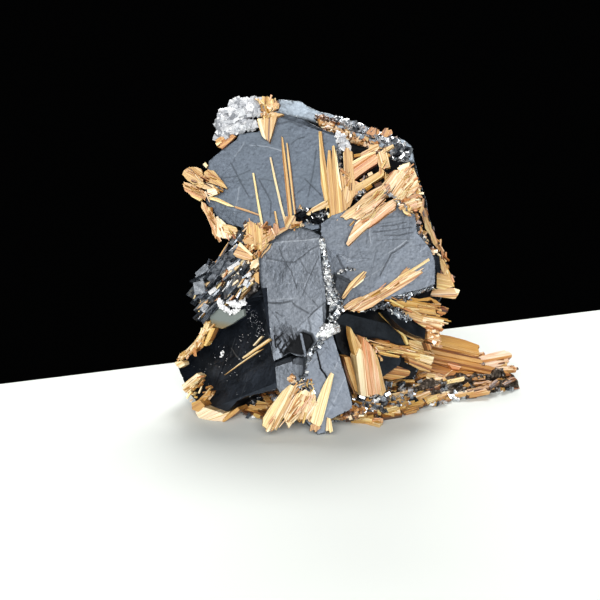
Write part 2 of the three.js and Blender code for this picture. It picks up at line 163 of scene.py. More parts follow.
# Specular hematite on its natural growth faces: a satin steel-grey lustre with a
# faint cloudy mottle, and dark hairlines where growth layers meet. A negative mark paints
# pale glints along facet edges, a painted highlight, and a dent's mark is painted shade.
def hematiteMaterial(name, look):
    material, tree = newMaterial(name)
    place = addNode(tree, "TexCoord").outputs["Object"]
    mark = addNode(tree, "Attribute", {"attribute_name": "mark"}).outputs["Fac"]
    broad = addNode(
        tree, "TexNoise", {"Scale": perMm(hematitePattern["cloud"]), "Detail": 4.0, "Roughness": 0.6},
        {"Vector": place},
    )
    fine = addNode(
        tree, "TexNoise", {"Scale": perMm(hematitePattern["grain"]), "Detail": 4.0, "Roughness": 0.7},
        {"Vector": place},
    )
    mottle = addNode(
        tree, "MixRGB", {"Fac": look.get("mottle", 0.45)},
        {"Color1": broad, "Color2": fine},
    )
    base = addNode(
        tree, "ValToRGB", {"stops": [(0.38, look["dark"]), (0.62, look["pale"])]},
        {"Fac": mottle},
    )
    # a negative mark is a painted glint: pale lines along facet edges
    paintedGlint = addNode(tree, "MapRange", {"From Max": -1.0}, {"Value": mark})
    glinted = addNode(
        tree, "MixRGB", {"Color2": linear("#c9ced4")},
        {"Fac": paintedGlint, "Color1": base},
    )
    linesAndShade = addNode(
        tree, "MixRGB", {"Color2": linear("#08090b")},
        {"Fac": mark, "Color1": glinted},
    )
    grain = addNode(
        tree, "TexNoise", {"Scale": perMm(hematitePattern["fleck"]), "Detail": 2.0, "Roughness": 0.5},
        {"Vector": place},
    )
    speckle = look.get("speckle", 0.8)
    flecks = addNode(
        tree, "MapRange",
        {"From Min": speckle, "From Max": speckle + hematitePattern["fleckEdge"],
         "To Max": hematitePattern["fleckShare"]},
        {"Value": grain},
    )
    flecked = addNode(
        tree, "MixRGB", {"Color2": linear("#c4c8cc")}, {"Fac": flecks, "Color1": linesAndShade}
    )
    gloss = addNode(
        tree, "MapRange",
        {**noiseSpan, "To Min": look["roughness"] - 0.06,
         "To Max": look["roughness"] + 0.1},
        {"Value": broad},
    )
    fineBump = addNode(
        tree, "Bump", {"Strength": look.get("bump", 0.3), "Distance": hematitePattern["fineDepth"]},
        {"Height": fine},
    )
    broadBump = addNode(
        tree, "Bump", {"Strength": look.get("bump", 0.3), "Distance": hematitePattern["broadDepth"]},
        {"Height": grain, "Normal": fineBump},
    )
    finishMaterial(
        tree, {"Metallic": hematitePattern["metallic"]},
        {"Base Color": flecked, "Roughness": gloss, "Normal": broadBump},
    )
    return material


rutilePattern = {
    "stripes": (13.0, 0.35, 1.0),   # needles per mm across and along a blade
    "bands": (2.4, 0.1, 1.0),       # bundles of needles per mm
    "contrast": 0.24,               # how much a stripe changes the tone
    "hueShift": 0.25,               # how much a band changes the hue
    "depth": 0.00004,               # metres of bump
}


# Rutile, grown as bundles of striated needles: silky golden laths whose lines run
# along them, cream where they catch the light and brown in between.
def rutileMaterial(name, look):
    material, tree = newMaterial(name)
    tone = addNode(tree, "Attribute", {"attribute_name": "tone"}).outputs["Fac"]
    hue = addNode(tree, "Attribute", {"attribute_name": "hue"}).outputs["Fac"]
    uv = addNode(tree, "UVMap", {"uv_map": "UVMap"})
    along = addNode(tree, "Mapping", {"Scale": rutilePattern["stripes"]}, {"Vector": uv})
    stripes = addNode(
        tree, "TexNoise", {"Scale": 1.0, "Detail": 3.0, "Roughness": 0.6},
        {"Vector": along},
    )
    wide = addNode(tree, "Mapping", {"Scale": rutilePattern["bands"]}, {"Vector": uv})
    bands = addNode(
        tree, "TexNoise", {"Scale": 1.0, "Detail": 2.0, "Roughness": 0.5},
        {"Vector": wide},
    )
    mixed = addNode(
        tree, "MixRGB", {"Fac": 0.45}, {"Color1": stripes, "Color2": bands}
    )
    shift = addNode(
        tree, "MapRange",
        {**noiseSpan, "To Min": -rutilePattern["contrast"],
         "To Max": rutilePattern["contrast"]},
        {"Value": mixed},
    )
    shade = addNode(tree, "Math", {"operation": "ADD"}, {0: tone, 1: shift})
    colour = addNode(tree, "ValToRGB", {"stops": look["stops"]}, {"Fac": shade})
    turned = addNode(
        tree, "MapRange",
        {**noiseSpan, "To Min": rutilePattern["hueShift"],
         "To Max": -rutilePattern["hueShift"]},
        {"Value": bands},
    )
    hueShift = addNode(tree, "Math", {"operation": "ADD"}, {0: hue, 1: turned})
    tint = addNode(
        tree, "ValToRGB",
        {"stops": [(0.0, "#fff0b4"), (0.35, "#fff9e4"), (0.6, "#fff0e6"),
                   (1.0, "#ffc4ac")]},
        {"Fac": hueShift},
    )
    tinted = addNode(
        tree, "MixRGB", {"blend_type": "MULTIPLY", "Fac": 1.0},
        {"Color1": colour, "Color2": tint},
    )
    bump = addNode(
        tree, "Bump", {"Strength": 0.8, "Distance": rutilePattern["depth"]},
        {"Height": stripes},
    )
    finishMaterial(
        tree,
        # the needles' fine lines scatter most of what rutile would mirror
        {"IOR": look["ior"], "Roughness": look["roughness"],
         "Specular IOR Level": 0.2},
        {"Base Color": tinted, "Normal": bump},
    )
    return material


grainPattern = {"cloud": 0.5, "contrast": 0.12, "depth": 0.00004}  # mm, tone, metres


# Small intergrown crystals: each has a tone of its own and a bright or dull face.
def grainMaterial(name, look):
    material, tree = newMaterial(name)
    tone = addNode(tree, "Attribute", {"attribute_name": "tone"}).outputs["Fac"]
    place = addNode(tree, "TexCoord").outputs["Object"]
    cloud = addNode(
        tree, "TexNoise", {"Scale": perMm(grainPattern["cloud"]), "Detail": 3.0},
        {"Vector": place},
    )
    shift = addNode(
        tree, "MapRange",
        {**noiseSpan, "To Min": -grainPattern["contrast"],
         "To Max": grainPattern["contrast"]},
        {"Value": cloud},
    )
    shade = addNode(tree, "Math", {"operation": "ADD"}, {0: tone, 1: shift})
    colour = addNode(tree, "ValToRGB", {"stops": look["stops"]}, {"Fac": shade})
    gloss = addNode(
        tree, "MapRange",
        {**noiseSpan, "To Min": look["roughness"] * 0.6,
         "To Max": look["roughness"] * 1.4},
        {"Value": cloud},
    )
    bump = addNode(
        tree, "Bump", {"Strength": 0.4, "Distance": grainPattern["depth"]},
        {"Height": cloud},
    )
    finishMaterial(
        tree, {"Metallic": look["metallic"], "IOR": look.get("ior", 1.5)},
        {"Base Color": colour, "Roughness": gloss, "Normal": bump},
    )
    return material


# One hematite in copies set plate by plate for how the light falls on each: litFace, brightLitFace and
# rim are paler with painted light, shadedFace and deepShadeFace darker with painted shade.
hematiteLooks = {
    "growthFace": {"dark": "#353a41", "pale": "#4c535b", "roughness": 0.4},
    "litFace": {"dark": "#42474e", "pale": "#5d6269", "roughness": 0.4},
    "brightLitFace": {"dark": "#51565d", "pale": "#71767d", "roughness": 0.4},
    "shadedFace": {"dark": "#31363d", "pale": "#444b56", "roughness": 0.36,
                   "speckle": 0.72, "mottle": 0.3},
    "deepShadeFace": {"dark": "#1c1f24", "pale": "#30353c", "roughness": 0.36,
                  "speckle": 0.72, "mottle": 0.3},
    "brokenFace": {"dark": "#2b2a2b", "pale": "#6b6866", "roughness": 0.4,
                   "speckle": 0.68, "bump": 0.7},
    "brownBase": {"dark": "#2d2722", "pale": "#6f6459", "roughness": 0.45,
                  "speckle": 0.7, "bump": 0.7},
    "rim": {"dark": "#666f78", "pale": "#868f97", "roughness": 0.45, "speckle": 0.72},
}
hematite = {
    name: hematiteMaterial("specularHematite_" + name, look)
    for name, look in hematiteLooks.items()
}
rutile = {
    "golden": rutileMaterial("silkyRutileNeedles", {
        "ior": 2.6, "roughness": 0.48,
        "stops": [(0.0, "#331b0a"), (0.14, "#6b3f16"), (0.28, "#a06a2d"),
                  (0.42, "#bd8f4c"), (0.56, "#c9a468"), (0.7, "#d3b685"),
                  (0.84, "#e4d3ae"), (1.0, "#fbf3e0")],
    }),
    "amber": rutileMaterial("amberRutileLaths", {
        "ior": 2.6, "roughness": 0.5,
        "stops": [(0.0, "#241307"), (0.2, "#633510"), (0.4, "#a0601c"),
                  (0.6, "#c08a3c"), (0.8, "#d6ad70"), (1.0, "#fdf3e2")],
    }),
}
grains = {
    "white": grainMaterial("whiteCarbonateCrust", {
        "metallic": 0.0, "roughness": 0.35,
        "stops": [(0.0, "#5d6066"), (0.3, "#95989e"), (0.65, "#c6c8cc"),
                  (1.0, "#f6f6f6")],
    }),
    # its palest tones are painted glints on the metal grains
    "silver": grainMaterial("silverHematiteDruse", {
        "metallic": 0.75, "roughness": 0.26,
        "stops": [(0.0, "#0e1014"), (0.3, "#4b5159"), (0.65, "#a9afb6"),
                  (1.0, "#fbfbfb")],
    }),
    "golden": grainMaterial("goldenRutileCrumbs", {
        "metallic": 0.0, "roughness": 0.35, "ior": 2.3,
        "stops": [(0.0, "#2b1608"), (0.3, "#8a5322"), (0.6, "#dba15a"),
                  (1.0, "#f8e4c2")],
    }),
}
print("materials made:", len(hematite) + len(rutile) + len(grains))
groundGap = 0.02  # mm that loose bits stay above the ground


def pick(geom, kind):
    return [g for g in geom if isinstance(g, kind)]


def everything(bm):
    return bm.verts[:] + bm.edges[:] + bm.faces[:]


def keepAboveGround(bm):
    for v in bm.verts:
        v.co.z = max(v.co.z, groundGap)


# A piece that replaces a node has its name in camelCase.
def pieceName(node):
    first, *rest = node.split("_")
    return first + "".join(word.title() for word in rest)


# Makes an object of a mesh in mm, in the row frame, riding on the root.
def placePiece(name, bm, material, node=None):
    bm.transform(toRow)
    mesh = bpy.data.meshes.new(name)
    bm.to_mesh(mesh)
    bm.free()
    mesh.materials.append(material)
    piece = bpy.data.objects.new(name, mesh)
    bpy.context.scene.collection.objects.link(piece)
    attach(piece, "root")
    if node:
        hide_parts(node)
    print(name, len(mesh.polygons), "faces")


# each view point's distance to a line through the path's points
def lineDistance(points, path):
    best = np.full(len(points), 1e9)
    for start, end in zip(path[:-1], path[1:]):
        start, end = np.array(start, float), np.array(end, float)
        along = end - start
        share = ((points - start) @ along) / max(along @ along, 1e-9)
        near = start + np.clip(share, 0, 1)[:, None] * along
        best = np.minimum(best, np.linalg.norm(points - near, axis=1))
    return best


def insideOutline(point, outline):
    inside = False
    for (x0, y0), (x1, y1) in zip(outline, outline[1:] + outline[:1]):
        if (y0 > point[1]) != (y1 > point[1]):
            if point[0] < x0 + (point[1] - y0) * (x1 - x0) / (y1 - y0):
                inside = not inside
    return inside


cutting = {
    "grid": 1.1,      # mm between the grid's cuts
    "start": 0.7,     # mm from a piece's edge to its first cut
    "passes": 5,      # most rounds of splitting long edges
    "facing": 0.8,    # cosine within which a face looks along the out direction
    "sliver": 0.01,   # mm under which an edge is dissolved
}


# Cuts a mesh into an even grid and splits its long edges, more finely on faces that
# look along the out direction.
def refine(bm, out, fine, coarse):
    side = out.orthogonal().normalized()
    for axis in (side, out.cross(side)):
        spans = [v.co.dot(axis) for v in bm.verts]
        cut = min(spans) + cutting["start"]
        while cut < max(spans):
            bmesh.ops.bisect_plane(
                bm, geom=everything(bm), dist=1e-4, plane_co=axis * cut, plane_no=axis
            )
            cut += cutting["grid"]
    bmesh.ops.triangulate(bm, faces=bm.faces[:])
    for _ in range(cutting["passes"]):
        bm.normal_update()
        flat = {f for f in bm.faces if abs(f.normal.dot(out)) > cutting["facing"]}
        lengths = [(edge, edge.calc_length()) for edge in bm.edges]
        longEdges = [
            edge for edge, length in lengths if length > coarse or (
                length > fine and not flat.isdisjoint(edge.link_faces)
            )
        ]
        if not longEdges:
            break
        bmesh.ops.subdivide_edges(bm, edges=longEdges, cuts=1)
        bmesh.ops.triangulate(bm, faces=[f for f in bm.faces if len(f.verts) > 3])
    bmesh.ops.dissolve_degenerate(bm, dist=cutting["sliver"], edges=bm.edges[:])
    bmesh.ops.triangulate(bm, faces=[f for f in bm.faces if len(f.verts) > 3])


# a stroke's two ends, from its middle, its turn and half its length
def strokeEnds(x, y, turn, half):
    dx, dy = math.cos(turn) * half, math.sin(turn) * half
    return (x - dx, y - dy), (x + dx, y + dy)


hairline = {
    "turns": [0.1, 0.95, 1.75, 2.4],   # the crystal's own directions, in radians
    "wander": 0.12,
    "half": (4, 17),                   # half a line's length, in view units
    "bend": 1.5,
    "width": 0.6,
    "depth": 0.01,                     # mm
    "strength": (0.1, 0.32),
    "signs": [1, 1, 1, -0.4],          # a negative line is pale, a painted glint
}


# Faint straight growth lines in a few directions, seeded.
def growthLines(settings):
    if not settings.get("hairlines"):
        return []
    rng = random.Random(settings["seed"])
    xs, ys = zip(*settings["outline"])
    lines = []
    for _ in range(settings["hairlines"]):
        x, y = rng.uniform(min(xs), max(xs)), rng.uniform(min(ys), max(ys))
        turn = rng.choice(hairline["turns"]) + rng.gauss(0, hairline["wander"])
        start, end = strokeEnds(x, y, turn, rng.uniform(*hairline["half"]))
        bend = rng.uniform(-hairline["bend"], hairline["bend"])
        lines.append((
            (start, (x + bend, y - bend), end), hairline["width"], hairline["depth"],
            rng.choice(hairline["signs"]) * rng.uniform(*hairline["strength"]),
        ))
    return lines


hatch = {
    "seed": 12,
    "across": (266, 306),              # view units, as all but the depth are
    "down": (318, 356),
    "turns": [1.0, 1.0, 1.15, 2.2],
    "wander": 0.1,
    "half": (2, 6),
    "width": 1.0,
    "depth": 0.03,                     # mm
    "strength": (0.8, 1.4),
    "fade": 26,                        # how far down the strokes reach their full tone
    "faintest": 0.3,
}


# Short dark strokes where layers end against each other, seeded.
def hatching(outline, count):
    rng = random.Random(hatch["seed"])
    strokes = []
    while len(strokes) < count:
        x, y = rng.uniform(*hatch["across"]), rng.uniform(*hatch["down"])
        if not insideOutline((x, y), outline):
            continue
        turn = rng.choice(hatch["turns"]) + rng.gauss(0, hatch["wander"])
        path = strokeEnds(x, y, turn, rng.uniform(*hatch["half"]))
        fade = min(1.0, max(hatch["faintest"], (y - hatch["down"][0]) / hatch["fade"]))
        strokes.append((
            path, hatch["width"], hatch["depth"] * fade,
            rng.uniform(*hatch["strength"]) * fade,
        ))
    return strokes


carving = {
    "lineEdge": 1.3,       # a line is at its full tone out to this less 1 of its width
    "grooveShare": 0.5,
    "dentEdge": 4.0,       # view units over which a dent deepens and its painted shade darkens
    "frontal": 0.5,        # cosine within which a point belongs to the front
    "corner": 0.94,        # cosine past which a point lies on an edge
    "sliver": 0.003,       # square mm under which a face says nothing of an edge
    "relief": 0.02,        # mm, as the next two are
    "sideRelief": 0.08,
    "wear": 0.03,
    "reliefPitch": 0.5,    # noise cells per mm
    "wearPitch": 1.3,
}


# Draws lines and cuts dents, each dent darkened inside with painted shade: each point's mark and the mm
# that it is pushed back.
def markPoints(bm, settings):
    seen = inView(np.array([v.co for v in bm.verts], float))
    mark, groove = np.zeros(len(seen)), np.zeros(len(seen))
    lines = settings.get("lines", []) + growthLines(settings)
    for path, width, depth, strength in lines:
        near = np.clip(carving["lineEdge"] - lineDistance(seen, path) / width, 0, 1)
        mark = np.where(abs(near * strength) > abs(mark), near * strength, mark)
        groove = np.maximum(groove, near * depth * carving["grooveShare"])
    # a dent's dark mark is painted shade in the hollow
    for outline, depth, strength in settings.get("dents", []):
        edge = lineDistance(seen, outline + outline[:1])
        soft = np.clip(edge / carving["dentEdge"], 0, 1)
        for i, point in enumerate(seen):
            if insideOutline(point, outline):
                mark[i] = max(mark[i], strength * soft[i])
                groove[i] = max(groove[i], depth * soft[i])
    return mark, groove


# Gives a crystal relief, worn edges, lines and dents with painted shade in them, and pushes back what
# lies right of each facet's line.
def carve(bm, settings):
    out = settings["face"]["out"]
    bm.normal_update()
    areas = {f: f.calc_area() for f in bm.faces}
    mark, groove = markPoints(bm, settings)
    layer = bm.verts.layers.float.new("mark")
    values = {**carving, **settings}
    facets = [
        (sightLine(start).cross(sightLine(end)).normalized(), slope)
        for start, end, slope in settings.get("facets", [])
    ]
    offset = Vector((settings["seed"] * 13.1, 0, settings["seed"] * 7.7))
    moves = []
    for i, vert in enumerate(bm.verts):
        place = vert.co + offset
        # slivers don't count towards which way a point faces
        normal = sum((f.normal * areas[f] for f in vert.link_faces), Vector())
        normal.normalize()
        frontal = normal.dot(out) > values["frontal"]
        height = values["relief" if frontal else "sideRelief"] * (
            noise.fractal(place * values["reliefPitch"], 0.6, 2.1, 4)
        )
        if any(
            areas[f] > values["sliver"] and f.normal.dot(normal) < values["corner"]
            for f in vert.link_faces
        ):
            worn = abs(noise.noise(place * values["wearPitch"]))
            height -= values["wear"] * (0.5 + 1.5 * worn)
        move = normal * height
        if frontal:
            vert[layer] = float(mark[i])
            move -= out * float(groove[i])
            for across, slope in facets:
                move -= out * max(0.0, (vert.co - eyePoint).dot(across)) * slope
        moves.append(move)
    for vert, move in zip(bm.verts, moves):
        vert.co += move
        vert.co.z = max(vert.co.z, 0.0)


growth = {
    "layers": 4,
    "share": (0.22, 0.28),       # of the thickness, for each layer
    "shrink": (0.975, 1.012),    # each layer's size against the one before
    "sharp": 0.5,                # radians past which an edge is bevelled
}
plateDefaults = {"raised": 0.0, "bevel": 0.09, "fine": 0.16, "coarse": 0.4}  # mm


# A tabular crystal: its outline is extruded back in growth layers.
def crystalPlate(name, plate, node=None):
    settings = {**plateDefaults, **plate}
    out = settings["face"]["out"]
    bm = bmesh.new()
    bm.faces.new([
        bm.verts.new(onFace(settings["face"], point, settings["raised"]))
        for point in settings["outline"]
    ])
    bm.normal_update()
    if bm.faces[:][0].normal.dot(out) < 0:
        bmesh.ops.reverse_faces(bm, faces=bm.faces[:])
    rng = random.Random(settings["seed"])
    back = bmesh.ops.extrude_face_region(bm, geom=bm.faces[:])["geom"]
    for layer in range(growth["layers"]):
        depth = settings["thickness"] * rng.uniform(*growth["share"])
        bmesh.ops.translate(bm, verts=pick(back, bmesh.types.BMVert), vec=-out * depth)
        if layer == growth["layers"] - 1:
            break
        faces = pick(back, bmesh.types.BMFace)
        back = bmesh.ops.extrude_face_region(bm, geom=faces)["geom"]
        bmesh.ops.delete(bm, geom=faces, context="FACES_ONLY")
        verts = pick(back, bmesh.types.BMVert)
        middle = sum((v.co for v in verts), Vector()) / len(verts)
        shrink = Matrix.Scale(rng.uniform(*growth["shrink"]), 4)
        bmesh.ops.transform(
            bm, verts=verts,
            matrix=Matrix.Translation(middle) @ shrink @ Matrix.Translation(-middle),
        )
        faces = pick(back, bmesh.types.BMFace)
        back = bmesh.ops.extrude_face_region(bm, geom=faces)["geom"]
        bmesh.ops.delete(bm, geom=faces, context="FACES_ONLY")
    bmesh.ops.recalc_face_normals(bm, faces=bm.faces[:])
    bmesh.ops.bevel(
        bm, geom=[e for e in bm.edges if e.calc_face_angle(0) > growth["sharp"]],
        offset=settings["bevel"], segments=1, profile=0.5, material=-1,
        affect="EDGES", clamp_overlap=True,
    )
    for start, end, _ in settings.get("facets", []):
        bmesh.ops.bisect_plane(
            bm, geom=everything(bm), plane_co=eyePoint,
            plane_no=sightLine(start).cross(sightLine(end)).normalized(),
        )
    refine(bm, out, settings["fine"], settings["coarse"])
    carve(bm, settings)
    bmesh.ops.triangulate(bm, faces=bm.faces[:])
    placePiece(name, bm, hematite[settings["look"]], node)


# Outlines, facets, dents and lines are in view points. A facet is a line and a slope,
# a dent an outline, mm and the tone of its painted shade, and a line its path, width, mm and tone, a
# negative tone being a pale painted glint.
plates = {
    "centre_hematite_plate": {
        "face": centreFace, "look": "brightLitFace", "thickness": 9.0, "seed": 1, "hairlines": 14,
        "outline": [
            (259, 258), (263, 251), (270, 243), (280, 234), (297, 226), (313, 231), (321, 236),
            (323, 250), (325, 275), (326, 300), (326, 318), (321, 337), (312, 350), (305, 357),
            (297, 356), (290, 353), (283, 357), (274, 361), (269, 340), (264, 302), (260, 280),
        ],
        "facets": [
            ((322, 238), (266, 244), 0.07), ((323, 318), (319, 236), 0.5),
            ((326, 301), (309, 318), 0.12), ((262, 303), (262, 250), -0.02),
        ],
        # painted shade darkens the recess far past its 0.12 mm depth
        "dents": [
            ([(292, 340), (297, 332), (303, 329), (313, 333), (317, 342), (310, 353), (302, 358),
              (290, 355), (281, 359), (279, 352), (286, 348)], 0.12, 1.3),
        ],
        "lines": [
            (((262, 252), (266, 258), (275, 260), (286, 262), (293, 262), (300, 257),
              (310, 249), (321, 243)), 0.9, 0.02, 0.42),
            (((270, 243), (288, 241), (305, 240), (321, 238)), 0.6, 0.0, -0.26),
            (((262, 260), (275, 261), (292, 261)), 0.6, 0.0, -0.12),
            (((277, 246), (280, 255), (285, 264), (290, 271), (293, 280), (296, 289)), 0.7, 0.02, 0.5),
            (((318, 256), (311, 272), (306, 284), (302, 295)), 0.6, 0.02, 0.5),
            (((300, 262), (306, 272), (311, 274)), 0.7, 0.02, 0.35),
            (((263, 302), (272, 303), (280, 303), (290, 301)), 1.0, 0.04, 0.62),
            (((270, 300), (282, 299), (296, 298)), 0.6, 0.0, -0.12),
            (((291, 301), (294, 305), (299, 308), (308, 313)), 1.0, 0.04, 0.55),
            (((308, 318), (313, 312), (318, 308), (326, 302)), 1.0, 0.04, 0.55),
            (((312, 300), (318, 307)), 0.8, 0.03, 0.45),
            (((308, 318), (310, 328), (309, 336)), 1.6, 0.03, 0.4),
            (((275, 312), (281, 316)), 0.8, 0.02, 0.5),
            (((266, 306), (276, 318), (282, 330)), 0.7, 0.02, 0.25),
        ] + hatching([(275, 326), (274, 340), (280, 352), (292, 346), (300, 340), (297, 328)], 70),
    },
    "upper_hematite_plate": {
        "face": upperFace, "look": "growthFace", "thickness": 5.5, "seed": 2, "hairlines": 26,
        "outline": [
            (209, 161), (215, 156), (222, 150), (236, 140), (240, 133), (258, 132), (274, 116),
            (280, 112), (300, 118), (312, 124), (322, 129), (334, 133), (338, 145), (341, 200),
            (336, 226), (318, 229), (300, 232), (280, 238), (262, 246), (250, 236), (243, 228),
            (227, 224), (219, 219), (206, 203), (206, 190), (207, 175),
        ],
        "facets": [((209, 192), (249, 225), 0.12), ((338, 137), (276, 116), 0.16)],
        "lines": [
            (((231, 163), (240, 181), (249, 197)), 0.8, 0.02, 0.5),
            (((259, 180), (265, 190), (271, 202), (270, 217)), 0.8, 0.02, 0.5),
            (((305, 179), (313, 187), (322, 196)), 0.8, 0.02, 0.55),
            (((291, 144), (297, 139), (303, 137)), 0.8, 0.02, 0.5),
            (((239, 208), (250, 211), (262, 217)), 0.8, 0.02, 0.45),
            (((222, 178), (236, 176), (250, 170)), 0.8, 0.02, 0.35),
            (((316, 150), (313, 172), (308, 196)), 0.8, 0.02, 0.4),
            (((275, 124), (290, 121), (306, 128)), 1.2, 0.02, 0.4),
        ],
    },
    "right_hematite_plate": {
        "face": rightFace, "look": "litFace", "thickness": 6.0, "seed": 3, "hairlines": 20,
        "outline": [
            (320, 224), (332, 215), (345, 210), (405, 205), (413, 214), (415, 224), (416, 233),
            (424, 242), (430, 250), (434, 262), (434, 285), (420, 290), (405, 293), (392, 298),
            (380, 302), (366, 306), (352, 309), (340, 310), (336, 302), (333, 290), (328, 275),
            (322, 262), (320, 240),
        ],
        "facets": [
            ((405, 244), (383, 274), -0.05), ((352, 281), (338, 262), -0.1),
            ((434, 283), (340, 312), 0.0),
        ],
        "dents": [
            ([(334, 272), (343, 276), (354, 282), (348, 296), (340, 308), (334, 300),
              (331, 284)], 0.2, 0.6),
        ],
        "lines": [
            (((407, 243), (398, 250), (391, 254), (386, 264), (380, 276)), 0.9, 0.03, 0.4),
            (((406, 240), (399, 246), (388, 253)), 0.5, 0.0, -0.2),
            (((365, 279), (379, 270), (389, 262)), 0.5, 0.0, -0.12),
            (((352, 262), (344, 258), (339, 254)), 0.6, 0.0, -0.12),
            (((370, 216), (388, 218), (404, 217)), 0.6, 0.01, 0.3),
            (((364, 226), (384, 224), (400, 221)), 0.6, 0.01, 0.3),
            (((376, 241), (394, 240), (412, 240)), 0.6, 0.01, 0.3),
            (((372, 233), (390, 231), (410, 228)), 0.8, 0.02, 0.5),
            (((380, 227), (392, 226), (405, 223)), 0.8, 0.02, 0.45),
            (((384, 236), (398, 236), (412, 233)), 0.8, 0.02, 0.45),
            (((337, 256), (342, 266), (346, 272)), 1.2, 0.03, 0.6),
            (((341, 276), (349, 280)), 1.0, 0.02, 0.5),
        ],
    },
    "left_hematite_plate": {
        "face": leftFace, "look": "shadedFace", "thickness": 7.0, "seed": 5, "hairlines": 22,
        "relief": 0.03,
        "outline": [
            (262, 288), (265, 310), (268, 330), (272, 348), (275, 365), (278, 388), (262, 393),
            (247, 396), (237, 401), (226, 414), (216, 411), (206, 407), (197, 402), (190, 394),
            (185, 384), (178, 368), (183, 356), (193, 348), (203, 340), (213, 330), (224, 325),
            (235, 318), (246, 300),
        ],
        "facets": [
            ((270, 352), (244, 302), 0.3), ((204, 340), (207, 384), 0.12),
            ((278, 382), (228, 402), 0.35),
        ],
        # the two broad pale bands are painted sheen, the thin pale line a painted glint
        "lines": [
            (((252, 290), (257, 312), (264, 334)), 7.0, 0.0, -0.13),
            (((190, 360), (204, 368), (216, 374)), 9.0, 0.0, -0.05),
            (((222, 350), (228, 357), (235, 362)), 0.5, 0.0, -0.3),
        ],
    },
    "right_hematite_wedge": {
        "face": wedgeFace, "look": "deepShadeFace", "thickness": 5.0, "seed": 6, "hairlines": 12,
        "relief": 0.04,
        "outline": [
            (336, 318), (350, 310), (367, 309), (383, 313), (397, 323), (405, 331), (411, 346),
            (400, 352), (395, 366), (372, 384), (356, 376), (348, 364), (338, 348), (334, 332),
        ],
        "facets": [((352, 360), (346, 316), -0.1), ((398, 326), (356, 316), 0.5)],
    },
    "foot_hematite_block": {
        "face": footFace, "look": "litFace", "thickness": 7.6, "seed": 4, "hairlines": 8,
        "outline": [
            (316, 346), (325, 340), (333, 335), (338, 352), (345, 375), (352, 397), (352, 409),
            (341, 414), (331, 419), (326, 433), (318, 434), (309, 424), (300, 412), (298, 392),
            (302, 370), (308, 356),
        ],
        "facets": [((352, 404), (336, 338), 0.5), ((322, 398), (340, 356), -0.04)],
        "lines": [
            (((317, 352), (319, 360), (321, 369), (325, 374), (328, 380)), 0.7, 0.12, 1.3),
            (((335, 368), (339, 360), (341, 354)), 0.6, 0.0, -0.12),
            (((346, 376), (336, 398), (326, 416)), 0.6, 0.0, -0.06),
        ],
    },
    "back_hematite_plate": {
        "face": backFace, "look": "rim", "thickness": 4.0, "seed": 8, "fine": 0.3, "relief": 0.05,
        "hairlines": 10, "bevel": 0.2,
        "outline": [
            (280, 100), (292, 101), (302, 102), (308, 107), (320, 112), (332, 115), (342, 119),
            (358, 125), (372, 131), (385, 136), (404, 140), (411, 146), (414, 160), (418, 175),
            (425, 198), (430, 222), (438, 243), (447, 264), (450, 285), (438, 302), (430, 340),
            (414, 378), (320, 376), (262, 300), (256, 200), (264, 140), (274, 112),
        ],
        "facets": [((322, 119), (279, 112), -0.05)],
        # painted shade over the plate's body, which leaves only its rim pale
        "dents": [
            ([(240, 132), (282, 113), (308, 117), (336, 126), (352, 133), (372, 141), (392, 152),
              (404, 158), (420, 160), (432, 198), (438, 222), (446, 243), (456, 264), (458, 286),
              (448, 350), (440, 396), (300, 400), (230, 300)], 0.05, 1.1),
        ],
    },
    "rear_right_hematite_plate": {
        "face": rearRightFace, "look": "growthFace", "thickness": 5.0, "seed": 10, "fine": 0.3,
        "relief": 0.04, "hairlines": 10,
        "outline": [
            (352, 262), (362, 248), (372, 236), (392, 232), (400, 246), (408, 262), (410, 330),
            (398, 352), (352, 368),
        ],
    },
    "rear_left_hematite_plate": {
        "face": rearLeftFace, "look": "growthFace", "thickness": 5.0, "seed": 11, "fine": 0.3,
        "relief": 0.04, "hairlines": 10,
        "outline": [
            (330, 250), (312, 232), (292, 244), (276, 270), (273, 296), (272, 318), (284, 346),
            (334, 366),
        ],
    },
}
for node, settings in plates.items():
    crystalPlate(pieceName(node), settings, node)

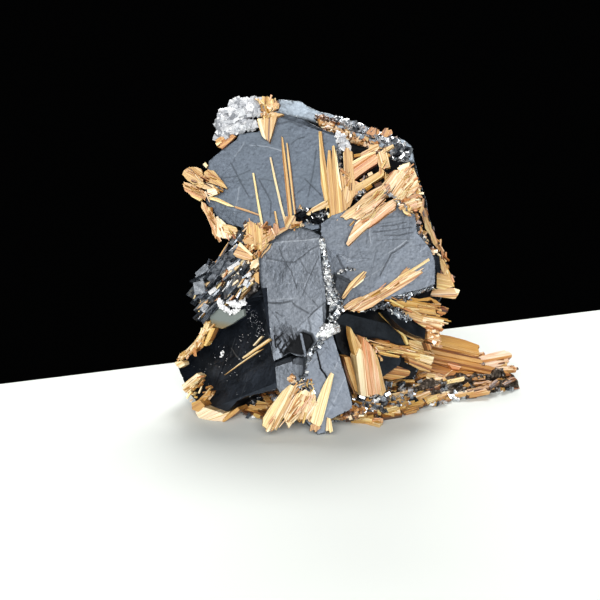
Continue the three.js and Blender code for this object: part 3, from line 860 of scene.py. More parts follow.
smallPlates = {
    "footLeftBlock": {
        "face": footLeftFace, "look": "brightLitFace", "thickness": 2.6, "seed": 21, "hairlines": 3,
        "outline": [
            (275, 363), (283, 359), (291, 356), (293, 366), (292, 380), (290, 393), (283, 397),
            (277, 388),
        ],
        "facets": [((294, 361), (272, 368), 0.7)],
    },
    "footMiddleBlock": {
        "face": footLeftFace, "look": "brightLitFace", "raised": 0.3, "thickness": 2.0, "seed": 22,
        "outline": [(292, 359), (299, 357), (305, 358), (303, 372), (298, 388), (292, 384)],
        "facets": [((299, 380), (298, 356), 0.6), ((305, 366), (292, 364), 0.4)],
    },
    # drawn in the hematite copy with deep painted shade
    "rightShadedPrism": {
        "face": cornerFace, "look": "deepShadeFace", "raised": 2.6, "thickness": 2.4, "seed": 23,
        "bevel": 0.14,
        "outline": [
            (386, 311), (393, 310), (401, 313), (414, 321), (426, 329), (425, 339), (412, 334),
            (400, 327), (391, 318),
        ],
        "facets": [((428, 331), (396, 314), 0.9)],
    },
    "cornerHematiteCrystal": {
        "face": cornerFace, "look": "growthFace", "raised": 0.5, "thickness": 2.0, "seed": 24,
        "outline": [(419, 281), (430, 270), (434, 262), (437, 270), (437, 287), (428, 292)],
        "facets": [((430, 292), (433, 268), 0.6)],
    },
    "innerHematitePlate": {
        "face": innerFace, "look": "shadedFace", "thickness": 1.6, "seed": 25, "hairlines": 3,
        "outline": [(380, 356), (396, 355), (411, 358), (414, 369), (402, 376), (382, 378)],
    },
    "recessNeedle": {
        "face": centreFace, "look": "litFace", "raised": 0.35, "thickness": 0.35, "seed": 27,
        "bevel": 0.04,
        "outline": [(299.5, 333), (302, 333.5), (307, 356), (304.5, 357)],
    },
    # drawn in the hematite copy with painted shade
    "edgeDarkCrystal": {
        "face": cornerFace, "look": "shadedFace", "raised": 0.2, "thickness": 1.6, "seed": 26,
        "outline": [(431, 256), (439, 257), (441, 266), (440, 273), (433, 271)],
    },
}
for name, settings in smallPlates.items():
    crystalPlate(name, settings)


# A finished copy of a CAD crystal, with broken relief all over.
def brokenPlate(node, settings):
    bm = bmesh.new()
    bm.from_mesh(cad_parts[node].data)
    bm.transform(fromRow)
    bmesh.ops.remove_doubles(bm, verts=bm.verts[:], dist=0.004)
    bmesh.ops.dissolve_limit(
        bm, angle_limit=math.radians(1), verts=bm.verts[:], edges=bm.edges[:]
    )
    refine(bm, settings["face"]["out"], settings["fine"], settings["fine"])
    carve(bm, settings)
    placePiece(pieceName(node), bm, hematite[settings["look"]], node)


brokenPlates = {
    "left_hematite_ledges": {
        "face": ledgeFace, "look": "brokenFace", "seed": 7,
        "fine": 0.35, "relief": 0.3, "sideRelief": 0.3, "wear": 0.2,
    },
    "base_hematite_plate": {
        "face": {"out": Vector((0, 0, 1))}, "look": "brownBase", "seed": 9,
        "fine": 0.5, "relief": 0.5, "sideRelief": 0.4, "wear": 0.3,
    },
}
for node, settings in brokenPlates.items():
    brokenPlate(node, settings)


def rutileMesh():
    bm = bmesh.new()
    layers = {
        "uv": bm.loops.layers.uv.new("UVMap"),
        "tone": bm.faces.layers.float.new("tone"),
        "hue": bm.faces.layers.float.new("hue"),
    }
    return bm, layers


bladeStyle = {
    "rib": 0.13,        # mm between a blade's ribs
    "run": 0.3,         # how often a rib starts a new level and a new broken end
    "level": 0.09,      # mm that those levels differ by
    "ragged": 0.5,      # mm that the broken ends differ by
    "rootRagged": 0.4,  # share of that at the root
    "tilt": 0.2,        # how far a rib's front leans sideways
    "vary": 0.085,      # how much tone varies from rib to rib
    "spread": 0.06,     # and from run to run
    "odd": 0.1,         # how often a rib is much darker, or else paler
    "darker": (0.15, 0.35),
    "paler": 0.15,
    "sideShade": 0.2,   # how much darker a rib's sides are than its front
    "endShade": 0.1,
}


# A blade's face is sliced along its length into ribs, which come back in their order.
def sliceRibs(bm, front, side, style, rng):
    spans = [v.co.dot(side) for v in front.verts]
    geom = list(front.verts) + list(front.edges) + [front]
    cut = min(spans) + style["rib"] * rng.uniform(0.5, 1.2)
    cutEdges = set()
    while cut < max(spans) - style["rib"] * 0.4:
        done = bmesh.ops.bisect_plane(
            bm, geom=geom, dist=1e-5, plane_co=side * cut, plane_no=side
        )
        geom = done["geom"]
        cutEdges.update(pick(done["geom_cut"], bmesh.types.BMEdge))
        cut += style["rib"] * rng.uniform(0.55, 1.5)
    ribs = pick(geom, bmesh.types.BMFace)
    shared = [e for e in cutEdges if e.is_valid and len(e.link_faces) == 2]
    if shared:
        bmesh.ops.split_edges(bm, edges=shared)
    ribs.sort(key=lambda f: round(f.calc_center_median().dot(side), 3))
    return ribs


# A flat blade: each of its ribs gets a level, a lean and a broken end of its own
# before it is made solid. The blade is made apart and then joined to the piece, which
# is quicker for a large piece.
def addBlade(piece, points, way, out, look, style, rng):
    thick, tone, hue = look
    bm, layers = rutileMesh()
    start, end = way
    along = (end - start).normalized()
    length = (end - start).length
    side = along.cross(out).normalized()
    front = bm.faces.new([bm.verts.new(p) for p in points])
    front.normal_update()
    if front.normal.dot(out) < 0:
        front.normal_flip()
    ribs = sliceRibs(bm, front, side, style, rng)
    level, ends, runTone = 0.0, (0.0, 0.0), 0.0
    shift = Vector((rng.uniform(0, 90), rng.uniform(0, 90)))
    for rib in ribs:
        if rng.random() < style["run"]:
            level = rng.uniform(-1, 1) * style["level"]
            ends = (rng.random() ** 2 * style["ragged"] * style["rootRagged"],
                    rng.random() ** 2 * style["ragged"])
            runTone = rng.gauss(0, style["spread"])
        ribTone = tone + runTone + rng.gauss(0, style["vary"])
        if rng.random() < style["odd"]:
            ribTone -= rng.uniform(*style["darker"])
        elif rng.random() < style["odd"]:
            ribTone += style["paler"]
        middle = rib.calc_center_median()
        lean = rng.gauss(0, style["tilt"])
        for v in rib.verts:
            place = (v.co - start).dot(along) / length
            pull = ends[1] * max(0, place * 2 - 1) - ends[0] * max(0, 1 - place * 2)
            v.co -= along * min(pull, length * 0.2)
            v.co += out * (level + lean * (v.co - middle).dot(side))
        made = bmesh.ops.extrude_face_region(bm, geom=[rib])["geom"]
        back = pick(made, bmesh.types.BMVert)
        bmesh.ops.translate(bm, verts=back, vec=-out * thick)
        faces = list({f for v in back for f in v.link_faces} | {rib})
        bmesh.ops.recalc_face_normals(bm, faces=faces)
        for face in faces:
            shade = 0.0 if face.normal.dot(out) > 0.5 else style["sideShade"]
            if abs(face.normal.dot(along)) > 0.7:
                shade = style["endShade"]
            face[layers["tone"]] = min(0.98, max(0.03, ribTone - shade))
            face[layers["hue"]] = hue
            for loop in face.loops:
                spot = loop.vert.co
                loop[layers["uv"]].uv = (
                    spot.dot(side) + shift.x + spot.dot(out), spot.dot(along) + shift.y
                )
    mesh = bpy.data.meshes.new("blade")
    bm.to_mesh(mesh)
    bm.free()
    piece.from_mesh(mesh)
    bpy.data.meshes.remove(mesh)


# a straight blade between two points, from its width at both
def addLath(piece, start, end, wide, out, look, rng):
    side = (end - start).normalized().cross(out).normalized() / 2
    points = [start - side * wide[0], start + side * wide[0],
              end + side * wide[1], end - side * wide[1]]
    addBlade(piece, points, (start, end), out, look, bladeStyle, rng)


sprayDefaults = {
    "raised": 0.3,      # mm above the face
    "sunk": 0.7,        # share of a blade's thickness that lies above that
    "paler": 0.0,
    "narrow": 0.0,      # share of its width that a blade loses
    "hueShare": 0.8,
    "style": {},
}


# A blade is given by its outline and the line it grew along, in view points; then
# come thickness in mm, tone from dark to pale, partly the rutile's own colour and partly light, the
# palest blades being painted highlights and the darkest painted shade, hue from yellow to rose, and any
# extra height above the face.
def addSpray(bm, group, rng):
    settings = {**sprayDefaults, **group}
    style = {**bladeStyle, **settings["style"]}
    face = settings["face"]
    for corners, (x0, y0, x1, y1), thick, tone, hue, *extra in settings["blades"]:
        lift = settings["raised"] + thick * settings["sunk"] + (extra[0] if extra else 0.0)
        start, end = onFace(face, (x0, y0), lift), onFace(face, (x1, y1), lift)
        across = Vector((y0 - y1, x1 - x0)).normalized()
        points = []
        for x, y in corners:
            off = across.dot((x - x0, y - y0)) * settings["narrow"]
            points.append(onFace(face, (x - across.x * off, y - across.y * off), lift))
        look = (thick, tone + settings["paler"], hue * settings["hueShare"])
        addBlade(bm, points, (start, end), face["out"], look, style, rng)


def rutileSpray(node, settings):
    bm, _ = rutileMesh()
    rng = random.Random(settings["seed"])
    for group in settings["groups"]:
        addSpray(bm, group, rng)
    keepAboveGround(bm)
    material = rutile[settings.get("look", "golden")]
    placePiece(pieceName(node), bm, material, node)


needleStyle = {"ragged": 0.1, "rib": 0.14, "level": 0.04, "tilt": 0.3}
sprays = {
    "top_rutile_cap": {"seed": 31, "groups": [{"face": upperFace, "blades": [
        ([(262, 118), (268, 113), (277, 112), (276, 120), (272, 134), (269, 143), (266, 139),
          (264, 128)], (269, 142, 270, 113), 1.5, 0.56, 0.5),
        ([(257, 119), (262, 117), (264, 128), (266, 140), (262, 136), (259, 128)], (265, 140, 259, 118),
         1.3, 0.85, 0.5),
        ([(257, 99), (262, 95), (268, 96), (273, 98), (274, 105), (272, 111), (268, 112), (264, 106),
          (259, 103)], (270, 112, 265, 96), 1.8, 0.72, 0.1),
        ([(273, 99), (278, 98), (280, 104), (277, 110), (273, 110)], (276, 110, 277, 98), 1.4, 0.25,
         0.1),
        ([(262, 117), (270, 112), (285, 114), (276, 117)], (264, 116, 284, 114), 1.3, 0.75, 0.6, 0.2),
    ]}]},
    "upper_left_rutile_spray": {"seed": 32, "groups": [{"face": upperFace, "paler": 0.12, "blades": [
        ([(204, 172), (208, 169), (213, 170), (218, 176), (224, 183), (228, 189), (222, 187),
          (214, 184), (206, 182), (203, 178)], (228, 189, 206, 173), 1.3, 0.52, 0.2),
        ([(182, 174), (184, 170), (189, 167), (197, 167), (201, 169), (203, 175), (203, 182),
          (208, 186), (200, 188), (193, 184), (187, 180)], (205, 186, 184, 172), 1.4, 0.46, 0.3),
        ([(196, 182), (206, 183), (214, 185), (218, 188), (212, 190), (204, 189), (198, 186)],
         (217, 188, 197, 183), 1.3, 0.55, 0.6),
        ([(182, 181), (192, 184), (202, 190), (208, 193), (205, 199), (198, 197), (190, 194),
          (185, 191), (183, 186)], (208, 196, 183, 185), 1.0, 0.38, 0.7),
        ([(186, 191), (196, 196), (203, 199), (200, 201), (192, 197)], (202, 200, 187, 192), 1.0, 0.62,
         0.1),
        ([(206, 190), (214, 188), (219, 190), (217, 194), (209, 197), (205, 194)], (218, 190, 206, 195),
         1.1, 0.86, 0.6, 0.2),
        ([(208, 196), (218, 198), (228, 203), (235, 207), (228, 206), (216, 201), (208, 199)],
         (208, 197, 235, 207), 0.6, 0.66, 0.05),
        ([(235, 206), (248, 210), (261, 215), (261, 216.4), (248, 212), (235, 208)],
         (235, 207, 261, 216), 0.4, 0.3, 0.1),
        ([(201, 201), (206, 204), (207, 209), (213, 214), (216, 219), (217, 229), (216, 239),
          (213, 236), (212, 229), (209, 222), (206, 215), (201, 207)], (203, 203, 215, 237), 1.1, 0.4,
         0.75),
        ([(216, 216), (222, 220), (228, 226), (234, 230), (236, 236), (228, 239), (220, 238),
          (216, 236), (216, 226)], (219, 219, 226, 238), 0.9, 0.86, 0.5),
        ([(222, 224), (230, 225), (238, 228), (240, 231), (232, 236), (224, 232)], (222, 228, 240, 231),
         0.9, 0.55, 0.4, 0.2),
        ([(202, 164), (205, 162), (209, 166), (206, 168)], (208, 167, 203, 163), 0.8, 0.8, 0.3),
    ]}]},
    "orange_rutile_patch": {"seed": 33, "look": "amber", "groups": [{"face": upperFace, "blades": [
        ([(216, 139), (224, 135), (232, 134), (236, 136), (230, 142), (222, 149), (217, 147)],
         (234, 136, 219, 146), 0.9, 0.6, 0.05),
        ([(214, 141), (219, 138), (222, 142), (217, 146)], (221, 140, 215, 143), 1.0, 0.75, 0.4, 0.2),
    ]}]},
    "upper_rutile_needles": {"seed": 34, "groups": [{
        "face": upperFace, "narrow": 0.3, "style": needleStyle, "blades": [
        ([(281, 136), (283, 137), (286, 155), (290, 185), (294, 224), (288, 225), (285, 190),
          (282, 160)], (291, 224, 282, 137), 0.6, 0.62, 0.05),
        ([(286, 143), (288, 143), (291, 165), (294, 190), (297, 216), (294, 216), (290, 185),
          (287, 160)], (295, 216, 287, 143), 0.5, 0.66, 0.2),
        ([(269.5, 157), (271.5, 157), (277, 182), (283, 208), (288, 226), (285, 227), (279, 205),
          (273, 178)], (286, 226, 270, 157), 0.5, 0.97, 0.4),
        ([(252, 173), (254.5, 173), (258, 195), (262, 215), (265, 232), (262, 232), (258, 212),
          (255, 192)], (263, 232, 253, 173), 0.5, 0.84, 0.1),
        ([(273.5, 211), (276, 211), (278, 222), (280, 232), (277, 232), (275, 222)],
         (279, 232, 275, 211), 0.6, 0.6, 0.05),
    ]}, {"face": upperFace, "blades": [
        ([(284, 217), (290, 216), (296, 215), (300, 204), (302, 208), (300, 222), (292, 230),
          (285, 228)], (288, 228, 300, 206), 0.8, 0.55, 0.4),
        ([(262, 236), (272, 232), (284, 227), (302, 222), (303, 226), (288, 229), (276, 236),
          (264, 246)], (303, 224, 264, 242), 0.8, 0.56, 0.65),
        ([(306, 214), (312, 208), (322, 202), (327, 200), (329, 204), (324, 208), (314, 212),
          (308, 216)], (307, 214, 328, 202), 0.9, 0.82, 0.5, 0.5),
    ]}]},
    "junction_rutile_laths": {"seed": 35, "groups": [{"face": upperFace, "blades": [
        ([(247, 222), (252, 221), (256, 224), (258, 240), (256, 247), (250, 243), (246, 235)],
         (253, 246, 251, 221), 0.9, 0.5, 0.0),
        ([(255, 223), (260, 222), (263, 232), (262, 250), (258, 250), (257, 238)], (260, 250, 258, 222),
         1.0, 0.66, 0.05),
        ([(242, 240), (246, 235), (252, 240), (257, 246), (250, 245), (243, 243)], (243, 241, 256, 245),
         1.0, 0.48, 0.5, 0.2),
        ([(262, 236), (270, 232), (275, 232), (276, 238), (268, 242), (262, 248)], (262, 243, 276, 233),
         0.9, 0.62, 0.6),
        ([(273, 224), (277, 222), (280, 231), (276, 236), (273, 232)], (276, 236, 277, 223), 0.8, 0.36,
         0.8),
        ([(233, 254), (237, 247), (240, 243), (245, 247), (252, 254), (253, 259), (245, 260),
          (236, 257)], (253, 258, 235, 252), 1.4, 0.42, 0.6, 0.3),
        ([(240, 242), (253, 255), (251, 256), (238, 245)], (240, 243, 252, 255), 1.3, 0.88, 0.3, 0.5),
        ([(254, 274), (259, 272), (259, 284), (255, 281)], (257, 284, 257, 273), 0.8, 0.48, 0.0),
        ([(229, 242), (226, 248), (221, 256), (219, 256), (224, 248), (228, 242)], (228, 242, 220, 256),
         0.8, 0.5, 0.0),
        ([(260, 250), (266, 246), (272, 243), (270, 248), (264, 254), (261, 258)], (272, 244, 261, 257),
         0.9, 0.72, 0.7),
        ([(250, 262), (258, 258), (260, 264), (254, 270), (250, 268)], (258, 260, 251, 268), 0.9, 0.8,
         0.5),
    ]}]},
    "upper_right_rutile_spray": {"seed": 36, "groups": [{
        "face": upperFace, "style": {"ragged": 0.2, "rib": 0.13}, "blades": [
        ([(318.5, 131), (321.5, 131), (323, 145), (326, 165), (329, 185), (332, 205), (335, 222),
          (329, 222), (325, 204), (321, 184), (320, 160)], (332, 222, 320, 131), 0.9, 0.62, 0.1),
        ([(328, 150), (330.5, 150), (333, 175), (336, 200), (338, 220), (332, 222), (330, 200),
          (327, 180), (327, 165)], (335, 222, 329, 150), 0.9, 0.56, 0.15, 0.25),
        ([(332, 145), (334, 144), (337, 160), (339, 175), (342, 195), (343, 212), (336, 214),
          (335, 195), (333, 175), (332, 160)], (339, 213, 333, 145), 1.1, 0.58, 0.05, 0.5),
        # a painted highlight: a cream strip along the blade
        ([(336, 150), (338, 165), (341, 185), (342, 192), (339, 185), (337, 170)], (341, 190, 337, 152),
         1.1, 0.95, 0.3, 0.6),
        ([(343, 153), (346, 147), (349, 148), (350, 160), (351, 175), (354, 190), (354, 198),
          (346, 200), (345, 185), (344, 170)], (350, 199, 347, 148), 1.5, 0.42, 0.4),
        ([(348, 150), (352, 150), (353, 160), (354, 175), (356, 190), (354, 199), (350, 190),
          (349, 170)], (354, 198, 350, 150), 1.6, 0.55, 0.3, 0.3),
        ([(340, 170), (343, 168), (346, 185), (350, 205), (346, 210), (341, 212), (340, 195)],
         (346, 210, 341, 168), 1.1, 0.5, 0.4, 0.2),
        ([(345, 186), (352, 187), (353, 198), (347, 204), (344, 196)], (346, 204, 349, 186), 1.6, 0.62,
         0.5, 0.2),
    ]}, {"face": upperFace, "paler": 0.14, "blades": [
        ([(350, 164), (358, 158), (368, 154), (375, 152), (379, 158), (378, 163), (370, 168),
          (360, 175), (354, 180), (350, 176)], (352, 175, 378, 157), 1.9, 0.46, 0.9),
        ([(351, 162), (366, 154), (375, 151), (376, 153), (362, 159), (352, 165)], (352, 163, 376, 152),
         1.9, 0.7, 0.4, 0.3),
        ([(357, 157), (362, 152), (372, 147), (376, 150), (366, 155), (359, 159)], (358, 158, 375, 148),
         1.5, 0.36, 0.4),
        ([(367, 150), (370, 145), (378, 144), (380, 149), (372, 153)], (368, 151, 379, 146), 1.6, 0.5,
         0.5),
        ([(376, 152), (381, 150), (384, 160), (385, 168), (379, 167), (377, 160)], (383, 168, 378, 150),
         1.6, 0.44, 0.5),
        ([(381, 152), (386, 150), (388, 158), (390, 167), (386, 168), (383, 160)], (388, 168, 383, 150),
         1.7, 0.66, 0.35),
        ([(380, 152), (385, 148), (393, 144), (394, 146), (386, 151), (382, 155)], (381, 153, 394, 145),
         1.8, 0.55, 0.6),
        ([(354, 190), (356, 185), (366, 179), (378, 172), (382, 169), (385, 171), (383, 176),
          (372, 183), (360, 191), (356, 192)], (355, 190, 384, 171), 1.8, 0.5, 0.1),
        ([(348, 179), (356, 181), (362, 184), (356, 190), (352, 187), (346, 184)], (348, 182, 362, 186),
         1.7, 0.48, 0.8),
        ([(346, 244), (348, 238), (352, 230), (356, 222), (362, 217), (372, 211), (380, 206),
          (388, 201), (393, 198), (397, 203), (396, 207), (390, 211), (382, 216), (376, 222),
          (368, 227), (360, 234), (353, 241), (348, 246)], (347, 245, 396, 203), 2.1, 0.62, 0.75),
        ([(380, 212), (395, 202), (398, 206), (388, 213), (377, 222), (368, 228), (372, 220)],
         (369, 227, 397, 204), 2.2, 0.56, 1.0, 0.1),
        ([(340, 217), (346, 211), (353, 206), (360, 200), (364, 195), (372, 190), (380, 186),
          (386, 190), (386, 196), (381, 203), (376, 208), (370, 212), (362, 217), (358, 220),
          (350, 218), (346, 220)], (342, 218, 386, 189), 2.0, 0.58, 0.6, 0.1),
        ([(380, 190), (388, 178), (394, 170), (402, 170), (398, 182), (392, 190), (386, 197)],
         (382, 194, 400, 170), 2.3, 0.6, 0.6),
        ([(398, 172), (404, 167), (410, 164), (414, 168), (417, 176), (419, 184), (410, 190),
          (402, 196), (396, 200), (391, 194), (396, 185)], (394, 197, 415, 168), 2.4, 0.66, 0.55),
        ([(397, 168), (403, 164), (410, 162), (409, 166), (400, 171)], (398, 169, 410, 163), 2.4, 0.95,
         0.4, 0.3),
        ([(394, 199), (404, 191), (412, 187), (419, 184), (422, 190), (412, 194), (404, 200),
          (398, 203)], (396, 201, 421, 186), 2.6, 0.56, 0.4, 0.1),
        ([(402, 203), (408, 199), (416, 196), (423, 201), (424, 205), (418, 208), (410, 210),
          (405, 206)], (404, 206, 424, 200), 2.6, 0.64, 0.5, 0.1),
        ([(404, 199), (412, 195), (419, 192), (423, 198), (416, 197), (409, 200)], (404, 199, 422, 194),
         2.6, 0.25, 0.5, 0.3),
        ([(403, 206), (408, 209), (413, 212), (408, 215), (404, 213), (401, 208)], (402, 207, 411, 213),
         2.4, 0.66, 0.2),
        ([(384, 184), (390, 183), (391, 190), (386, 191)], (385, 190, 390, 184), 2.4, 0.3, 1.0, 0.2),
        ([(372, 190), (380, 186), (390, 176), (392, 178), (386, 190), (378, 200)], (374, 196, 391, 177),
         2.1, 0.62, 0.6),
    ]}]},
    "back_rutile_tips": {"seed": 37, "look": "amber", "groups": [{"face": backFace, "blades": [
        ([(366, 133), (371, 127), (378, 127), (380, 133), (374, 138)], (373, 138, 374, 127), 1.3, 0.55,
         0.7),
        ([(380, 134), (385, 128), (392, 128), (393, 133), (386, 138)], (384, 138, 388, 128), 1.3, 0.6,
         0.6),
    ]}]},
    "right_edge_rutile": {"seed": 38, "groups": [{"face": backFace, "raised": 0.2, "blades": [
        ([(421, 207), (427, 209), (428, 218), (430, 230), (430, 232), (425, 226), (422, 217)],
         (430, 232, 423, 208), 1.2, 0.36, 0.5),
        ([(424, 216), (428, 218), (431, 228), (438, 245), (434, 245), (430, 235), (425, 228)],
         (436, 245, 425, 217), 1.3, 0.66, 0.2, 0.1),
        ([(430, 226), (434, 232), (438, 243), (436, 247), (431, 240)], (437, 246, 431, 227), 1.3, 0.25,
         0.8),
        ([(405, 246), (407, 241), (415, 236), (424, 230), (429, 231), (425, 236), (414, 242)],
         (427, 231, 406, 246), 1.3, 0.6, 0.4),
        ([(407, 249), (409, 245), (420, 241), (428, 239), (429, 242), (418, 245)], (428, 240, 407, 249),
         1.3, 0.72, 0.3),
        ([(440, 256), (443, 258), (447, 266), (452, 277), (455, 288), (449, 287), (444, 275),
          (440, 266)], (453, 288, 441, 257), 1.4, 0.56, 0.05),
        ([(434, 272), (441, 273), (449, 277), (454, 287), (446, 290), (436, 288)], (434, 279, 454, 283),
         1.5, 0.66, 0.1, 0.2),
        ([(432, 291), (440, 288), (455, 288), (460, 290), (458, 295), (455, 299), (440, 297),
          (430, 296)], (432, 293, 460, 292), 1.6, 0.5, 0.75),
        # a painted highlight at the lath's end
        ([(454, 288), (460, 290), (458, 295), (456, 293)], (452, 289, 460, 291), 1.5, 0.97, 0.4, 0.2),
        ([(421, 280), (426, 283), (437, 290), (434, 291), (424, 285)], (421, 281, 436, 291), 2.4, 0.72,
         0.3),
    ]}]},
    "right_rutile_spray": {"seed": 39, "groups": [{
        "face": rightFace, "style": {"ragged": 0.3}, "blades": [
        ([(384, 288), (400, 276), (418, 265), (430, 257), (431, 259.5), (420, 267), (404, 278),
          (388, 290)], (386, 289, 431, 258), 0.9, 0.88, 0.25, 0.1),
        ([(343, 309), (356, 300), (372, 292), (386, 286), (398, 277), (407, 267), (410, 268),
          (406, 276), (392, 288), (376, 298), (360, 306), (350, 310)], (345, 309, 409, 268), 0.9, 0.52,
         0.6),
        ([(350, 311), (362, 305), (378, 297), (390, 290), (402, 280), (410, 272), (422, 270),
          (424, 272), (414, 280), (402, 288), (392, 294), (382, 300), (372, 307), (362, 311)],
         (352, 311, 423, 271), 1.1, 0.68, 0.65, 0.1),
        ([(343, 307), (352, 300), (362, 296), (363, 298), (354, 303), (346, 308)], (344, 308, 363, 297),
         0.9, 0.8, 0.5, 0.2),
        ([(340, 301), (344, 293), (350, 283), (356, 277), (364, 271), (367, 272), (362, 279),
          (354, 286), (350, 291), (345, 298)], (341, 300, 366, 271), 0.9, 0.54, 0.2),
        ([(352, 288), (360, 281), (366, 275), (364, 280), (354, 288)], (352, 288, 365, 277), 1.0, 0.9,
         0.5, 0.1),
    ]}]},
    "right_middle_rutile_laths": {"seed": 40, "groups": [{"face": cornerFace, "raised": 0.6, "blades": [
        ([(390, 303), (398, 301), (410, 300), (428, 303), (436, 309), (438, 314), (424, 311),
          (404, 307), (394, 306)], (391, 303, 438, 312), 1.2, 0.48, 0.1),
        ([(392, 306), (404, 306), (424, 311), (440, 315), (440, 319), (424, 318), (404, 313)],
         (393, 307, 440, 317), 1.3, 0.58, 0.4),
        ([(400, 311), (412, 314), (428, 317), (444, 320), (443, 324), (442, 329), (428, 325),
          (414, 320), (404, 316)], (401, 312, 443, 325), 1.6, 0.66, 0.6),
        # a painted highlight at the laths' right end
        ([(424, 317), (444, 320), (442, 328), (422, 322)], (420, 319, 443, 324), 1.5, 0.97, 0.5, 0.1),
        ([(404, 316), (420, 323), (430, 326), (441, 328), (439, 331), (428, 330), (414, 324)],
         (405, 317, 441, 330), 1.4, 0.3, 1.0),
        ([(398, 300), (408, 297), (420, 299), (430, 297), (434, 299), (428, 301), (414, 301)],
         (398, 300, 434, 298), 0.9, 0.42, 0.05),
        ([(430, 298), (436, 300), (441, 304), (440, 306), (434, 303)], (430, 298, 441, 305), 0.9, 0.4,
         0.1),
        ([(426, 305), (434, 306), (438, 310), (430, 309)], (427, 306, 438, 310), 1.2, 0.9, 0.05, 0.2),
        ([(437, 308), (443, 306), (448, 309), (447, 314), (441, 316), (437, 313)], (438, 310, 448, 312),
         1.2, 0.33, 0.95),
        ([(427, 331), (440, 331), (441, 340), (436, 345), (428, 341), (427, 336)], (428, 334, 441, 338),
         1.4, 0.6, 0.75),
        ([(425, 342), (433, 344), (431, 352), (428, 350)], (427, 342, 431, 352), 1.3, 0.3, 0.8),
    ]}]},
    "lower_right_rutile_laths": {"seed": 41, "groups": [{
        "face": wedgeFace, "style": {"ragged": 0.25}, "blades": [
        ([(374, 340), (381, 340), (400, 346), (418, 346), (428, 350), (431, 354), (420, 353),
          (404, 350), (386, 346)], (376, 342, 431, 353), 1.3, 0.54, 0.35),
        ([(376, 345), (390, 348), (408, 352), (424, 354), (434, 357), (433, 364), (424, 363),
          (408, 357), (392, 351), (378, 349)], (377, 347, 434, 360), 1.4, 0.56, 0.4, 0.1),
        ([(420, 354), (434, 357), (432, 365), (420, 361)], (417, 356, 434, 361), 1.4, 0.93, 0.4, 0.2),
        ([(409, 340), (418, 341), (426, 344), (430, 352), (418, 350), (409, 345)], (409, 342, 430, 350),
         1.4, 0.64, 0.4),
        ([(378, 351), (388, 353), (400, 356), (399, 358), (386, 356), (379, 354)], (378, 352, 400, 357),
         1.1, 0.64, 0.1),
        ([(408, 357), (420, 362), (432, 366), (430, 372), (420, 370), (409, 364)], (409, 360, 432, 369),
         1.2, 0.55, 0.6),
        ([(382, 314), (386, 314), (392, 320), (400, 329), (406, 336), (409, 344), (407, 345),
          (403, 336), (394, 327), (386, 319)], (383, 314, 408, 345), 1.2, 0.76, 0.0, 0.2),
        ([(408, 319), (414, 321), (427, 328), (426, 331), (412, 325)], (409, 321, 427, 330), 0.6, 1.0,
         0.5, 3.0),
        ([(404, 331), (412, 334), (424, 340), (423, 343), (412, 339), (405, 335)], (404, 333, 424, 342),
         1.2, 0.55, 0.3),
    ]}, {"face": innerFace, "blades": [
        ([(379, 364), (388, 362), (400, 367), (409, 370), (414, 374), (404, 378), (392, 380),
          (382, 378), (380, 370)], (412, 375, 380, 370), 1.0, 0.4, 0.65),
    ]}]},
    "vertical_rutile_fan": {"seed": 42, "groups": [{
        "face": wedgeFace, "raised": 0.8, "style": {"ragged": 0.25, "vary": 0.04, "spread": 0.04},
        "blades": [
        ([(350, 327), (352, 330), (357, 338), (362, 347), (364, 353), (357, 360), (354, 352),
          (351, 340)], (351, 328, 360, 358), 1.1, 0.6, 0.5),
        ([(344, 357), (350, 357), (353, 368), (356, 380), (358, 393), (355, 391), (351, 380),
          (347, 368)], (347, 357, 356, 392), 1.5, 0.4, 0.4),
        ([(343, 357), (344, 362), (347, 372), (352, 385), (357, 395), (354, 394), (348, 382),
          (344, 368)], (343, 357, 356, 395), 1.4, 0.1, 0.5, -0.1),
        ([(356, 357), (359, 348), (363, 350), (366, 360), (368, 375), (370, 397), (361, 396),
          (359, 378)], (361, 352, 365, 397), 1.6, 0.88, 0.5),
        ([(363, 337), (368, 342), (372, 347), (375, 357), (378, 370), (381, 388), (380, 395),
          (369, 397), (367, 376), (365, 356), (363, 348)], (367, 342, 375, 397), 1.8, 0.84, 1.0, 0.1),
        ([(370, 345), (374, 350), (378, 358), (381, 370), (386, 391), (383, 396), (379, 395),
          (376, 372), (373, 356)], (374, 350, 384, 396), 1.6, 0.66, 0.6),
    ]}]},
    "foot_rutile_sheaf": {"seed": 43, "groups": [{
        "face": footFace, "style": {"vary": 0.04, "spread": 0.04}, "blades": [
        ([(283, 390), (291, 383), (297, 386), (293, 397), (285, 410), (278, 421), (273, 430),
          (267, 433), (261, 428), (262, 420), (270, 407)], (291, 386, 267, 430), 1.5, 0.82, 0.35),
        ([(294, 385), (297, 387), (290, 403), (280, 421), (274, 430), (272, 428), (282, 409),
          (290, 394)], (295, 386, 273, 430), 1.5, 0.5, 0.4, 0.15),
        ([(296, 394), (306, 389), (311, 393), (306, 404), (298, 418), (292, 424), (288, 430),
          (284, 420), (282, 417), (288, 405)], (305, 391, 287, 427), 1.4, 0.84, 0.45),
        ([(309, 393), (316, 396), (316, 405), (310, 418), (306, 421), (299, 420), (303, 408)],
         (313, 395, 304, 421), 1.2, 0.78, 0.65),
        ([(331, 372), (334, 374), (331, 388), (327, 404), (323, 420), (320, 428), (313, 425),
          (308, 420), (314, 410), (318, 398), (324, 384)], (332, 372, 317, 426), 1.4, 0.86, 0.25),
        ([(327, 417), (331, 419), (333, 431), (330, 433), (326, 433)], (329, 417, 330, 433), 1.2, 0.86,
         0.3),
        ([(311, 424), (318, 422), (321, 428), (316, 432), (310, 431)], (316, 422, 314, 432), 1.1, 0.42,
         0.4),
    ]}]},
    "lower_left_rutile_laths": {"seed": 44, "groups": [{"face": leftFace, "paler": 0.16, "blades": [
        ([(205, 320), (209, 324), (207, 332), (202, 337), (200, 345), (196, 351), (190, 353),
